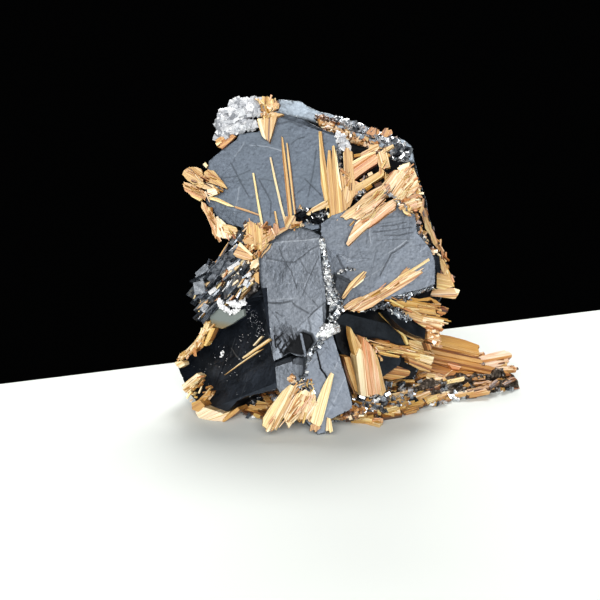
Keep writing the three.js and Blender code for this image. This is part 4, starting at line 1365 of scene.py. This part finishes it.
          (184, 358), (180, 360), (176, 360), (178, 356), (186, 350), (194, 342), (199, 335),
          (203, 329)], (205, 322, 177, 360), 1.2, 0.64, 0.5),
        ([(175, 362), (183, 361), (185, 365), (180, 368), (176, 367)], (184, 362, 176, 366), 1.2, 0.74,
         0.5),
        ([(211, 326), (215, 329), (211, 338), (206, 346), (203, 345), (207, 335)], (213, 327, 205, 346),
         1.1, 0.6, 0.0),
        ([(182, 389), (190, 382), (200, 374), (203, 376), (196, 384), (190, 392), (187, 394),
          (184, 391)], (203, 375, 184, 391), 1.2, 0.66, 0.5),
        ([(181, 386), (188, 380), (197, 373), (199, 375), (190, 381), (183, 388)], (198, 374, 182, 387),
         1.2, 0.86, 0.5, 0.2),
        ([(192, 404), (199, 399), (207, 391), (211, 391), (208, 397), (202, 404), (198, 410),
          (193, 411)], (209, 392, 194, 408), 1.4, 0.48, 0.2),
    ]}]},
    "lower_left_rutile_block": {"seed": 45, "groups": [{
        "face": lowFace, "raised": -4.6, "style": {"vary": 0.04, "spread": 0.04, "ragged": 0.3},
        "blades": [
        ([(195, 412), (203, 407), (206, 408), (216, 411), (225, 414), (231, 411), (226, 418),
          (218, 427), (212, 425), (205, 423), (198, 417)], (224, 411, 204, 422), 3.4, 0.95, 0.6),
        ([(222, 420), (228, 414), (238, 407), (240, 410), (230, 418), (222, 424)], (238, 408, 222, 422),
         3.6, 0.5, 0.4),
        ([(191, 403), (200, 400), (205, 406), (198, 412), (192, 410)], (203, 402, 192, 408), 3.6, 0.5,
         0.3),
    ]}]},
    "left_rutile_needles": {"seed": 46, "groups": [{
        "face": leftFace, "raised": 0.2, "narrow": 0.35, "style": needleStyle, "blades": [
        ([(268, 338), (271, 341), (258, 350), (248, 357), (243, 359), (242, 357), (255, 347)],
         (270, 339, 243, 358), 0.5, 0.95, 0.4),
        ([(263, 349), (246, 360), (226, 374), (224, 375), (240, 362), (256, 351)], (263, 349, 225, 375),
         0.4, 0.72, 0.4),
        ([(261, 336), (262.5, 337), (254, 346), (252.5, 345)], (262, 336, 253, 346), 0.5, 0.97, 0.4),
    ]}]},
    "right_base_rutile_sheaf": {"seed": 47, "look": "amber", "groups": [{
        "face": sheafFace, "raised": -1.6, "style": {"rib": 0.34, "vary": 0.06, "spread": 0.1,
         "run": 0.45, "level": 0.16, "ragged": 0.7}, "blades": [
        ([(426, 329), (437, 334), (450, 336), (465, 340), (479, 345), (481, 352), (481, 357),
          (468, 356), (450, 353), (430, 350), (424, 340)], (426, 338, 481, 351), 2.6, 0.62, 0.25),
        ([(428, 345), (450, 349), (470, 354), (482, 358), (483, 364), (466, 364), (446, 360),
          (430, 356)], (429, 350, 483, 361), 2.8, 0.44, 0.3),
        ([(430, 354), (450, 358), (470, 362), (490, 366), (508, 371), (515, 376), (500, 377),
          (476, 372), (450, 368), (430, 362)], (430, 357, 515, 375), 3.0, 0.62, 0.3, 0.1),
        ([(430, 362), (452, 367), (476, 372), (500, 377), (517, 379), (518, 386), (498, 383),
          (470, 379), (445, 375), (430, 370)], (430, 365, 518, 382), 2.8, 0.48, 0.5),
        ([(430, 370), (450, 375), (474, 379), (500, 383), (519, 386), (520, 391), (505, 391),
          (480, 388), (450, 384), (430, 380)], (430, 374, 520, 389), 2.5, 0.44, 0.6),
        ([(430, 378), (452, 383), (480, 387), (496, 388), (480, 391), (450, 390), (430, 388)],
         (430, 381, 496, 389), 2.2, 0.14, 0.8),
        ([(478, 357), (492, 353), (506, 350), (512, 354), (512, 361), (500, 366), (486, 369),
          (480, 364)], (480, 362, 512, 356), 1.5, 1.0, 0.7, 0.3),
        ([(430, 380), (445, 375.5), (454, 368), (455, 369), (446, 377), (431, 381)],
         (431, 380, 454, 369), 0.3, 0.9, 0.5, 1.9),
        ([(447, 363), (455, 362), (465, 367), (462, 371), (452, 369)], (448, 365, 464, 369), 1.4, 0.8,
         1.0, 1.5),
        ([(408, 357), (420, 358), (434, 352), (436, 368), (432, 382), (418, 380), (408, 372)],
         (409, 364, 435, 368), 2.4, 0.5, 0.6),
    ]}]},
}
for node, settings in sprays.items():
    rutileSpray(node, settings)

band = {
    "seed": 48,
    # the base plate's front edge, in mm on the ground
    "edge": [(-15, -10.4), (-8, -13.4), (-1.5, -12.9), (3.5, -12.4), (9, -8.4),
             (15, -4.6), (23.6, -0.8)],
    "count": 80,              # laths in each stretch of the edge
    "inward": (-0.6, 8.5),
    "height": (0.3, 1.4),
    "rise": 0.42,             # mm up for each mm inward, over the plate's slope
    "slope": 6.0,             # mm inward where the slope ends
    "long": (1.2, 3.8),
    "wide": (0.3, 1.1),
    "thick": (0.35, 0.8),
    "tones": (0.1, 0.85),
    "hues": (0, 0.7),
}


# Laths and crumbs along the base plate's broken front edge, on the ground.
def frontBand():
    bm, _ = rutileMesh()
    rng = random.Random(band["seed"])
    for (x0, y0), (x1, y1) in zip(band["edge"][:-1], band["edge"][1:]):
        run = Vector((x1 - x0, y1 - y0, 0))
        for _ in range(band["count"]):
            inward = Vector((-run.y, run.x, 0)).normalized() * rng.uniform(*band["inward"])
            start = Vector((x0, y0, 0)) + run * rng.uniform(-0.1, 0.9) + inward
            rise = min(inward.length, band["slope"]) * band["rise"]
            start.z = rng.uniform(*band["height"]) + rise
            turn = Matrix.Rotation(rng.gauss(0, 0.3), 3, "Z")
            tip = Vector((0, 0, rng.uniform(-0.3, 0.5)))
            end = start + turn @ run.normalized() * rng.uniform(*band["long"]) + tip
            wide = (rng.uniform(*band["wide"]), rng.uniform(*band["wide"]))
            lean = Vector((rng.gauss(0, 0.4), rng.gauss(-0.6, 0.3), 1)).normalized()
            look = [rng.uniform(*band[key]) for key in ("thick", "tones", "hues")]
            addLath(bm, start, end, wide, lean, look, rng)
    keepAboveGround(bm)
    placePiece("frontRutileBand", bm, rutile["golden"], "front_rutile_band")


star = {
    "seed": 49, "middle": (1, 8.3, 27), "turn": 0.2, "arms": 3, "pitch": 0.45,
    "wide": (0.35, 0.7), "thick": 0.9, "tone": 0.58, "vary": 0.12, "hue": 0.5,
}


# A three-way star of needles, as the sprays follow the crystal's axes.
def rearSpray():
    bm, _ = rutileMesh()
    rng = random.Random(star["seed"])
    out = -backFace["out"]
    middle = Vector(star["middle"])
    for i in range(star["arms"]):
        turn = Matrix.Rotation(i * math.pi / star["arms"] + star["turn"], 3, out)
        along = turn @ Vector((1, 0, 0))
        side = along.cross(out)
        for j in range(-3, 4):
            offset = side * (j * star["pitch"])
            start = middle + along * (2 * i - 8 + abs(j)) + offset
            end = middle + along * (10 - i - abs(j)) + offset * 1.6
            tone = star["tone"] + rng.uniform(-star["vary"], star["vary"])
            look = (star["thick"], tone, star["hue"])
            addLath(bm, start, end, star["wide"], out, look, rng)
    placePiece("rearRutileSpray", bm, rutile["golden"], "rear_rutile_spray")


# Broken bits of lath strewn over an outline, most of them along one direction.
def strewLaths(bm, rng, strew):
    face, turn, spread, count, longs, wides, heights, tones, outline = strew
    xs, ys = zip(*outline)
    made = 0
    while made < count:
        x, y = rng.uniform(min(xs), max(xs)), rng.uniform(min(ys), max(ys))
        if not insideOutline((x, y), outline):
            continue
        made += 1
        turned = math.radians(turn + rng.gauss(0, spread))
        root, tip = strokeEnds(x, y, turned, rng.uniform(*longs) / 2)
        lift = rng.uniform(*heights)
        start = onFace(face, root, lift + rng.uniform(-0.2, 0.1))
        end = onFace(face, tip, lift + rng.uniform(-0.1, 0.3))
        along = (end - start).normalized()
        lean = Matrix.Rotation(rng.gauss(0, 0.35), 3, along) @ face["out"]
        wide = rng.uniform(*wides) * mmPerUnit
        tapered = (wide, wide * rng.uniform(0.5, 1))
        look = (rng.uniform(0.2, 0.6), rng.gauss(*tones), rng.uniform(0, 0.9))
        addLath(bm, start, end, tapered, lean, look, rng)


# Each row holds the face, the bits' direction and its spread in degrees, how many
# they are, their length and width in view units, mm above the face, the mean and
# spread of their tone, and the outline that they lie in.
lathBits = [
    (upperFace, -42, 30, 60, (4, 13), (1.5, 4), (0.8, 2.0), (0.5, 0.18), [(343, 152), (352, 156),
      (376, 148), (392, 150), (392, 168), (412, 165), (420, 186), (424, 204), (404, 209), (385, 200),
      (352, 205), (343, 190)]),
    (upperFace, -42, 12, 34, (5, 16), (0.8, 1.8), (2.2, 2.9), (0.7, 0.2), [(352, 228), (342, 217),
      (364, 196), (386, 186), (398, 172), (412, 166), (421, 188), (396, 202), (372, 220)]),
    (backFace, 24, 30, 60, (2, 7), (1, 3), (0.4, 1.8), (0.6, 0.22), [(318, 121), (330, 123), (350, 132),
      (372, 141), (388, 147), (382, 151), (360, 145), (340, 138), (322, 130)]),
    (upperFace, -30, 30, 34, (3, 8), (1, 3), (2.0, 3.2), (0.62, 0.22), [(394, 196), (412, 188),
      (422, 192), (424, 208), (410, 216), (400, 210)]),
    (backFace, 66, 25, 50, (3, 9), (1, 2.6), (0.4, 1.4), (0.5, 0.25), [(418, 208), (428, 210),
      (436, 232), (446, 254), (456, 284), (440, 286), (438, 256), (426, 236)]),
    (upperFace, -60, 45, 80, (3, 9), (1, 2.8), (0.4, 1.3), (0.6, 0.22), [(243, 222), (262, 222),
      (270, 228), (285, 226), (300, 221), (304, 226), (284, 231), (268, 240), (263, 256), (250, 266),
      (240, 250)]),
    (upperFace, 66, 25, 34, (3, 9), (1, 2.6), (0.7, 1.3), (0.6, 0.22), [(201, 202), (207, 206),
      (216, 218), (236, 230), (238, 237), (216, 238), (210, 222)]),
    (cornerFace, 14, 7, 60, (6, 22), (0.8, 2), (0.8, 2.0), (0.58, 0.2), [(390, 301), (430, 299),
      (440, 305), (442, 328), (426, 328), (404, 316)]),
    (wedgeFace, 13, 8, 40, (6, 20), (0.8, 2), (0.9, 1.7), (0.6, 0.2), [(375, 340), (400, 346),
      (430, 350), (433, 362), (414, 360), (392, 352), (378, 352)]),
    (wedgeFace, 70, 30, 24, (3, 9), (1, 2.6), (1.0, 2.0), (0.6, 0.22), [(362, 338), (368, 340),
      (378, 346), (382, 360), (370, 356)]),
    (footFace, 122, 7, 44, (6, 20), (0.7, 1.6), (1.0, 1.9), (0.82, 0.16), [(284, 392), (310, 388),
      (316, 400), (308, 418), (284, 424), (266, 428)]),
    (footFace, 110, 40, 40, (2, 6), (0.8, 2), (0.4, 1.5), (0.8, 0.2), [(296, 378), (316, 380),
      (320, 398), (314, 422), (304, 424), (306, 400), (298, 392)]),
    (leftFace, -45, 25, 44, (3, 9), (1, 2.6), (0.6, 1.5), (0.62, 0.2), [(205, 320), (212, 328),
      (203, 345), (182, 362), (176, 362), (178, 356), (196, 342)]),
    (leftFace, -40, 25, 30, (3, 9), (1, 2.6), (0.6, 1.5), (0.6, 0.25), [(182, 386), (200, 374),
      (206, 380), (212, 392), (198, 408), (190, 402)]),
    (rightFace, -36, 8, 30, (6, 20), (0.7, 1.6), (0.6, 1.5), (0.68, 0.2), [(344, 309), (360, 300),
      (400, 276), (422, 270), (400, 290), (362, 310)]),
    (upperFace, 36, 14, 30, (4, 12), (0.8, 2), (0.8, 1.8), (0.52, 0.2), [(184, 172), (208, 170),
      (226, 188), (206, 198), (186, 190)]),
    (upperFace, 80, 30, 24, (3, 9), (1, 2.6), (1.0, 2.0), (0.7, 0.25), [(258, 98), (274, 97),
      (280, 104), (270, 116), (260, 118)]),
]


def rutileBits():
    bm, _ = rutileMesh()
    rng = random.Random(50)
    for strew in lathBits:
        strewLaths(bm, rng, strew)
    keepAboveGround(bm)
    placePiece("rutileLathBits", bm, rutile["golden"])


frontBand()
rearSpray()
rutileBits()


# A small block crystal: a cube sized, turned by a matrix and given a tone.
def addBlock(bm, toneLayer, place, turn, size, tone):
    made = bmesh.ops.create_cube(
        bm, size=1.0,
        matrix=Matrix.Translation(place) @ turn @ Matrix.Diagonal((*size, 1)),
    )
    for face in {f for v in made["verts"] for f in v.link_faces}:
        face[toneLayer] = min(1.0, max(0.0, tone))


def anyTurn(rng):
    axis = Vector((rng.uniform(-1, 1), rng.uniform(-1, 1), rng.uniform(-1, 1)))
    return Matrix.Rotation(rng.uniform(0, math.tau), 4, axis.normalized())


grainFlatness = (0.15, 0.6)


# Grains strewn along a view line whose width is given at each of its corners.
def strewGrains(bm, toneLayer, rng, strew):
    face, path, widths, count, sizes, heights, tones, *flatness = strew
    for _ in range(count):
        place = rng.uniform(0, len(path) - 1.001)
        i, part = int(place), place % 1
        x = path[i][0] + (path[i + 1][0] - path[i][0]) * part
        y = path[i][1] + (path[i + 1][1] - path[i][1]) * part
        wide = widths[i] + (widths[i + 1] - widths[i]) * part
        point = (x + rng.uniform(-0.5, 0.5) * wide, y + rng.uniform(-0.3, 0.3) * wide)
        size = rng.uniform(*sizes)
        flat = rng.uniform(*(flatness[0] if flatness else grainFlatness))
        addBlock(
            bm, toneLayer, onFace(face, point, rng.uniform(*heights)),
            anyTurn(rng), (size, size * rng.uniform(0.5, 1), size * flat),
            rng.gauss(*tones),
        )


def grainPiece(name, settings, node=None):
    bm = bmesh.new()
    toneLayer = bm.faces.layers.float.new("tone")
    rng = random.Random(settings["seed"])
    for strew in settings["strews"]:
        strewGrains(bm, toneLayer, rng, strew)
    keepAboveGround(bm)
    look = settings["look"]
    placePiece(name, bm, grains[look], node)


# Each row holds the face, the view line and its widths, how many grains, their size
# in mm, mm above the face, the mean and spread of their tone, and any flatness.
grainPieces = {
    "white_crystal_crust": {"seed": 61, "look": "white", "strews": [
        (upperFace, [(222, 126), (232, 117), (246, 109), (260, 108)], [14, 19, 19, 14], 330, (0.4, 1.4),
         (-1.4, 1.2), (0.62, 0.22), (0.3, 0.9)),
        (upperFace, [(219, 136), (236, 128), (256, 124)], [8, 12, 10], 150, (0.35, 1.1), (-0.8, 1.2),
         (0.62, 0.22), (0.3, 0.9)),
        (upperFace, [(235, 103), (258, 102)], [8, 8], 60, (0.5, 1.2), (-1.0, 0.6), (0.75, 0.15),
         (0.3, 0.9)),
    ]},
    "silver_druse_seam": {"seed": 62, "look": "silver", "strews": [
        (centreFace, [(322, 238), (324, 252), (326, 268), (329, 280), (332, 292), (335, 302),
          (337, 310), (332, 320)], [2, 3, 5, 7, 10, 13, 11, 8], 760, (0.15, 0.6), (-0.7, 0.6),
         (0.74, 0.34)),
        (centreFace, [(326, 334), (318, 346), (311, 352), (307, 362), (302, 376)], [6, 6, 5, 5, 5], 190,
         (0.15, 0.5), (-0.2, 0.7), (0.6, 0.32)),
        (centreFace, [(321, 333), (328, 329), (336, 329)], [8, 12, 8], 70, (0.5, 1.1), (0.0, 0.9),
         (1.0, 0.06)),
        (footFace, [(304, 372), (300, 384), (308, 394), (316, 402)], [7, 10, 12, 8], 130, (0.2, 0.7),
         (-0.2, 1.0), (0.6, 0.3)),
    ]},
    "dark_crystal_nest": {"seed": 64, "look": "silver", "strews": [
        (upperFace, [(304, 214), (313, 217), (325, 212)], [12, 15, 12], 80, (0.5, 1.4), (0.0, 1.0),
         (0.05, 0.1)),
        (upperFace, [(302, 210), (314, 222), (328, 208)], [10, 10, 8], 45, (0.2, 0.5), (0.6, 1.3),
         (0.95, 0.1)),
    ]},
    "white_druse_patch": {"seed": 63, "look": "white", "strews": [
        (leftFace, [(220, 300), (221, 305), (227, 311), (234, 313), (238, 309)], [2, 3, 3, 3, 2], 54,
         (0.3, 0.8), (0.9, 1.6), (1.0, 0.1), (0.12, 0.3)),
        (leftFace, [(228, 302), (234, 304), (240, 305), (245, 300)], [2, 3, 4, 4], 54, (0.3, 0.8),
         (0.9, 1.6), (1.0, 0.1), (0.12, 0.3)),
    ]},
}
for node, settings in grainPieces.items():
    grainPiece(pieceName(node), settings, node)

moreGrains = {
    "rimGrains": {"seed": 71, "look": "silver", "strews": [
        (backFace, [(336, 119), (346, 123), (358, 128), (374, 135), (390, 141), (401, 147)], [4, 8, 10,
          12, 14, 10], 400, (0.25, 0.9), (-0.2, 0.9), (0.75, 0.25)),
        (backFace, [(392, 148), (398, 156), (403, 152)], [14, 16, 11], 110, (0.4, 1.2), (0.2, 1.6),
         (0.45, 0.35)),
        (upperFace, [(339, 148), (342, 170), (344, 196)], [3, 3, 4], 50, (0.2, 0.5), (0.2, 1.4),
         (0.5, 0.3)),
        (upperFace, [(356, 199), (364, 190)], [6, 4], 20, (0.2, 0.5), (1.8, 2.4), (0.6, 0.3)),
        (upperFace, [(386, 192), (398, 200), (410, 211)], [4, 4, 5], 45, (0.15, 0.45), (2.0, 2.9),
         (0.8, 0.2)),
        (rightFace, [(408, 210), (415, 222), (419, 236), (432, 252)], [5, 6, 6, 6], 90, (0.2, 0.7),
         (-0.6, 0.5), (0.4, 0.35)),
        (rightFace, [(364, 309), (376, 306), (392, 304), (412, 298)], [7, 9, 7, 4], 120, (0.2, 0.7),
         (-0.8, 0.3), (0.4, 0.25)),
        (rightFace, [(388, 300), (402, 296), (416, 291), (430, 286)], [6, 8, 9, 6], 240, (0.2, 0.6),
         (-0.9, 0.1), (0.55, 0.22)),
        (cornerFace, [(391, 308), (399, 313), (409, 321)], [7, 9, 6], 130, (0.15, 0.5), (2.3, 2.9),
         (0.5, 0.3)),
        (centreFace, [(338, 274), (348, 268), (354, 270)], [5, 5, 4], 30, (0.15, 0.4), (0.2, 0.6),
         (0.6, 0.3)),
    ]},
    "nestGrains": {"seed": 72, "look": "white", "strews": [
        (leftFace, [(200, 375), (230, 350), (262, 325)], [40, 60, 24], 60, (0.03, 0.1), (0.0, 0.05),
         (0.9, 0.2)),
        (leftFace, [(222, 351), (223, 354), (221, 357)], [2, 3, 2], 12, (0.15, 0.35), (0.0, 0.1),
         (1.0, 0.1)),
        (leftFace, [(249, 305), (254, 320), (260, 334)], [8, 12, 8], 90, (0.04, 0.12), (0.0, 0.04),
         (0.3, 0.2)),
        (upperFace, [(339, 134), (344, 142), (346, 149)], [6, 10, 7], 70, (0.3, 0.9), (-0.4, 0.9),
         (0.8, 0.2)),
    ]},
    "rimCrumbs": {"seed": 73, "look": "golden", "strews": [
        (backFace, [(318, 121), (330, 127), (344, 134), (360, 142), (372, 147)], [4, 6, 6, 5, 6], 150,
         (0.25, 0.8), (0.2, 1.6), (0.55, 0.3)),
        (backFace, [(318, 117), (326, 119), (336, 123)], [6, 8, 6], 110, (0.2, 0.6), (0.3, 1.1),
         (0.08, 0.16)),
        (upperFace, [(262, 112), (270, 108), (276, 104)], [6, 8, 6], 40, (0.3, 0.8), (0.4, 1.8),
         (0.8, 0.15)),
        (cornerFace, [(428, 324), (434, 334), (438, 346)], [7, 9, 8], 90, (0.25, 0.8), (0.4, 1.6),
         (0.75, 0.2)),
        (rightFace, [(414, 214), (420, 232), (434, 254)], [6, 7, 6], 60, (0.2, 0.7), (-0.6, 0.5),
         (0.5, 0.3)),
        (footFace, [(291, 376), (294, 382)], [6, 6], 26, (0.3, 0.7), (0.3, 1.0), (0.6, 0.2)),
        (footFace, [(345, 416), (352, 414), (360, 408)], [10, 14, 10], 120, (0.25, 0.8), (-1.6, 0.2),
         (0.35, 0.3)),
    ]},
}
for name, settings in moreGrains.items():
    grainPiece(name, settings)

baseGrain = {
    "seed": 74,
    # the base plate's front edge, in mm on the ground
    "edge": [(-15, -10.6), (-8, -13.2), (0, -12.8), (5, -11.4), (10, -7.6), (16, -4.0),
             (23.4, -0.6)],
    "count": 420,
    "inward": (-0.5, 4.0),
    "height": 0.4,              # mm at the edge
    "rise": 0.6,                # mm up for each mm inward
    "top": 2.2,
    "mound": (1.9, 3.9),        # the stretch of the edge where the grains lie higher
    "moundRise": 1.1,
    "sizes": (0.3, 1.1),
    "tones": (0.72, 0.3),
}


# Silver grains and flakes that lie on the base plate, in ground millimetres.
def baseGrains():
    bm = bmesh.new()
    toneLayer = bm.faces.layers.float.new("tone")
    rng = random.Random(baseGrain["seed"])
    edge = baseGrain["edge"]
    for _ in range(baseGrain["count"]):
        place = rng.uniform(0, len(edge) - 1.001)
        i, part = int(place), place % 1
        run = Vector((edge[i + 1][0] - edge[i][0], edge[i + 1][1] - edge[i][1], 0))
        spot = Vector((*edge[i], 0)) + run * part
        inward = rng.uniform(*baseGrain["inward"])
        spot += Vector((-run.y, run.x, 0)).normalized() * inward
        height = baseGrain["height"] + max(0, inward) * baseGrain["rise"]
        spot.z = min(baseGrain["top"], height) * rng.uniform(0.5, 1.15)
        if baseGrain["mound"][0] < place < baseGrain["mound"][1]:
            spot.z += baseGrain["moundRise"]
        size = rng.uniform(*baseGrain["sizes"])
        addBlock(
            bm, toneLayer, spot, anyTurn(rng),
            (size, size * rng.uniform(0.5, 1), size * rng.uniform(0.15, 0.5)),
            rng.gauss(*baseGrain["tones"]),
        )
    keepAboveGround(bm)
    placePiece("baseSilverGrains", bm, grains["silver"])


ledge = {
    "seed": 75,
    "count": 250,
    "outline": [(243, 230), (258, 250), (260, 264), (252, 282), (242, 296), (222, 306),
                (207, 318), (200, 312), (197, 297), (196, 284), (206, 268), (220, 258),
                (232, 245)],
    "across": (195, 262),
    "down": (228, 320),
    "way": ((205, 310), (250, 260)),   # the layers' run
    "wander": 0.16,
    "lean": 0.35,
    "raised": (0.4, 1.9),
    "rutile": 0.26,                    # share of rutile, and how much more of it
    "moreRutile": 0.3,                 # there is further right than this view column
    "column": 226,
    "sizes": ((0.8, 3.6), (0.5, 1.8), (0.08, 0.3)),
    # the share of layers that stay dull; the rest get the palest tone as a painted glint
    "glint": 0.93,
    "dull": (0.05, 0.62),
    # larger crystals: view point, size in mm and tone, where a tone of 1.0 is a painted glint
    "crystals": [
        ((222, 266), (2.6, 1.7, 0.5), 0.42), ((213, 274), (2.2, 1.8, 0.5), 0.4),
        ((204, 273), (2.0, 1.6, 0.6), 0.55), ((200, 288), (1.6, 1.8, 0.6), 0.6),
        ((230, 256), (2.4, 1.2, 0.5), 0.35), ((234, 266), (2.0, 0.5, 0.4), 1.0),
        ((213, 291), (1.3, 0.6, 0.4), 1.0), ((228, 286), (2.2, 0.25, 0.4), 1.0),
        ((245, 227), (2.4, 0.5, 0.6), 0.3), ((236, 238), (2.4, 0.6, 0.6), 0.5),
        ((247, 252), (2.6, 0.9, 0.5), 0.12), ((249, 275), (0.8, 0.5, 0.4), 1.0),
        ((246, 283), (0.9, 0.6, 0.4), 1.0), ((205, 308), (1.2, 0.9, 0.5), 0.7),
    ],
}


# The broken edges of many thin layers, seen end on at the left.
def ledgeLayers():
    silver = bmesh.new()
    toneLayer = silver.faces.layers.float.new("tone")
    gold, _ = rutileMesh()
    rng = random.Random(ledge["seed"])
    low, high = (onFace(ledgeFace, point) for point in ledge["way"])
    run = (low - high).normalized()
    out = ledgeFace["out"]
    made = 0
    while made < ledge["count"]:
        point = (rng.uniform(*ledge["across"]), rng.uniform(*ledge["down"]))
        if not insideOutline(point, ledge["outline"]):
            continue
        made += 1
        along = Matrix.Rotation(rng.gauss(0, ledge["wander"]), 3, out) @ run
        lean = Matrix.Rotation(rng.gauss(0, ledge["lean"]), 3, along)
        thin = lean @ along.cross(out).normalized()
        deep = along.cross(thin)
        place = onFace(ledgeFace, point, rng.uniform(*ledge["raised"]))
        more = ledge["moreRutile"] * (point[0] > ledge["column"])
        if rng.random() < ledge["rutile"] + more:
            start = place - along * rng.uniform(0.4, 1.6)
            end = place + along * rng.uniform(0.4, 1.6)
            wide = (0.3, rng.uniform(0.2, 0.5))
            look = (rng.uniform(0.3, 0.9), rng.uniform(0.45, 0.97), rng.uniform(0.2, 0.9))
            addLath(gold, start, end, wide, out, look, rng)
            continue
        basis = Matrix((along, deep, thin)).transposed().to_4x4()
        bright = rng.random()
        size = [rng.uniform(*span) for span in ledge["sizes"]]
        # the palest tone is a painted glint
        tone = 1.0 if bright > ledge["glint"] else rng.uniform(*ledge["dull"])
        addBlock(silver, toneLayer, place, basis, size, tone)
    for point, size, tone in ledge["crystals"]:
        along = Matrix.Rotation(rng.gauss(0, 0.25), 3, out) @ run
        basis = Matrix((along, along.cross(out), out)).transposed().to_4x4()
        place = onFace(ledgeFace, point, ledge["raised"][1])
        addBlock(silver, toneLayer, place, basis, size, tone)
    placePiece("ledgeSilverLayers", silver, grains["silver"])
    placePiece("ledgeRutileSlivers", gold, rutile["golden"])


flake = {
    "outline": [(209, 316), (219, 308), (226, 311), (232, 315), (243, 309), (244, 316),
                (236, 321), (232, 324), (222, 329), (212, 326)],
    "raised": 0.9, "thickness": 0.7, "bevel": 0.1, "cloud": 1.2,   # mm
    "low": (222, 327), "high": (228, 314),   # where tawny turns to grey-green
    "stops": [(0.2, "#7d6a44"), (0.42, "#75705c"), (0.62, "#727a76")],
}


# Mica: a smooth flat flake with a dull glassy gloss, tawny below and grey-green above.
def flakeMaterial():
    material, tree = newMaterial("greyGreenMicaFlake")
    place = addNode(tree, "TexCoord").outputs["Object"]
    split = addNode(tree, "SeparateXYZ", {}, {"Vector": place})
    cloud = addNode(
        tree, "TexNoise", {"Scale": perMm(flake["cloud"]), "Detail": 3.0},
        {"Vector": place},
    )
    level = addNode(
        tree, "MapRange",
        {"From Min": onFace(leftFace, flake["low"]).z / 1000,
         "From Max": onFace(leftFace, flake["high"]).z / 1000},
        {"Value": split.outputs["Z"]},
    )
    mixed = addNode(tree, "MixRGB", {"Fac": 0.25}, {"Color1": level, "Color2": cloud})
    colour = addNode(tree, "ValToRGB", {"stops": flake["stops"]}, {"Fac": mixed})
    bump = addNode(
        tree, "Bump", {"Strength": 0.3, "Distance": 0.00005}, {"Height": cloud}
    )
    finishMaterial(
        tree, {"Roughness": 0.32, "IOR": 1.58}, {"Base Color": colour, "Normal": bump}
    )
    return material


# A flat flake on the dark plate's top.
def greenFlake():
    material = flakeMaterial()
    bm = bmesh.new()
    bm.faces.new([
        bm.verts.new(onFace(leftFace, p, flake["raised"])) for p in flake["outline"]
    ])
    made = bmesh.ops.extrude_face_region(bm, geom=bm.faces[:])["geom"]
    bmesh.ops.translate(
        bm, verts=pick(made, bmesh.types.BMVert),
        vec=-leftFace["out"] * flake["thickness"],
    )
    bmesh.ops.recalc_face_normals(bm, faces=bm.faces[:])
    bmesh.ops.bevel(
        bm, geom=bm.edges[:], offset=flake["bevel"], segments=2, profile=0.5,
        material=-1, affect="EDGES",
    )
    bmesh.ops.triangulate(bm, faces=bm.faces[:])
    placePiece("greyGreenFlake", bm, material)


baseGrains()
ledgeLayers()
greenFlake()

floorLook = {
    "size": 1.5,                          # metres, as the next two are
    "behind": (-0.326, 0.9455, 0.0),      # the way to the far edge
    "edge": 0.019,
    "cloud": 90.0,                        # mm
    "stops": [(0.0, "#dde1dc"), (1.0, "#e6e9e5")],
}


# A plain pale floor that ends a little way behind the cluster.
def makeFloor():
    bm = bmesh.new()
    bmesh.ops.create_grid(bm, x_segments=1, y_segments=1, size=floorLook["size"])
    behind = Vector(floorLook["behind"])
    bmesh.ops.bisect_plane(
        bm, geom=everything(bm), plane_co=behind * floorLook["edge"], plane_no=behind,
        clear_outer=True,
    )
    mesh = bpy.data.meshes.new("floor")
    bm.to_mesh(mesh)
    bm.free()
    floor = bpy.data.objects.new("floor", mesh)
    bpy.context.scene.collection.objects.link(floor)
    material, tree = newMaterial("mattePaleFloor")
    place = addNode(tree, "TexCoord").outputs["Object"]
    cloud = addNode(
        tree, "TexNoise", {"Scale": perMm(floorLook["cloud"])}, {"Vector": place}
    )
    colour = addNode(tree, "ValToRGB", {"stops": floorLook["stops"]}, {"Fac": cloud})
    finishMaterial(
        tree, {"Roughness": 0.7, "Specular IOR Level": 0.0}, {"Base Color": colour}
    )
    mesh.materials.append(material)


def addLight(name, settings):
    light = bpy.data.lights.new(name, "AREA")
    light.shape = "RECTANGLE"
    light.size, light.size_y = settings["size"]
    light.energy = settings["watts"]
    lamp = bpy.data.objects.new(name, light)
    lamp.location = settings["place"]
    aim = Vector((0, 0, 0.02)) - Vector(settings["place"])
    lamp.rotation_euler = aim.to_track_quat("-Z", "Y").to_euler()
    bpy.context.scene.collection.objects.link(lamp)


makeFloor()
lights = {
    "softbox": {"place": (-0.05, -0.74, 0.38), "size": (0.7, 0.44), "watts": 8.4},
    "rimLight": {"place": (0.12, 0.42, 0.62), "size": (0.3, 0.3), "watts": 5.0},
    "leftFill": {"place": (-0.62, -0.34, 0.26), "size": (0.5, 0.45), "watts": 0.5},
    "backFill": {"place": (-0.1, 0.75, 0.3), "size": (0.5, 0.4), "watts": 5.0},
}
for name, settings in lights.items():
    addLight(name, settings)
world = bpy.data.worlds.new("studio")
world.use_nodes = True
world.node_tree.nodes["Background"].inputs["Color"].default_value = (0.5, 0.52, 0.55, 1)
world.node_tree.nodes["Background"].inputs["Strength"].default_value = 0.0015
bpy.context.scene.world = world
bpy.context.scene.view_settings.view_transform = "Standard"

cameraData = bpy.data.cameras.new("camera")
cameraData.sensor_width = 36.0
cameraData.lens = view["length"] / 600 * 36.0
cameraData.clip_start = 0.01
camera = bpy.data.objects.new("camera", cameraData)
camera.location = toRow @ eyePoint
camera.rotation_euler = (math.radians(90 - view["tilt"]), 0, 0)
bpy.context.scene.collection.objects.link(camera)
bpy.context.scene.camera = camera
print("stage set")
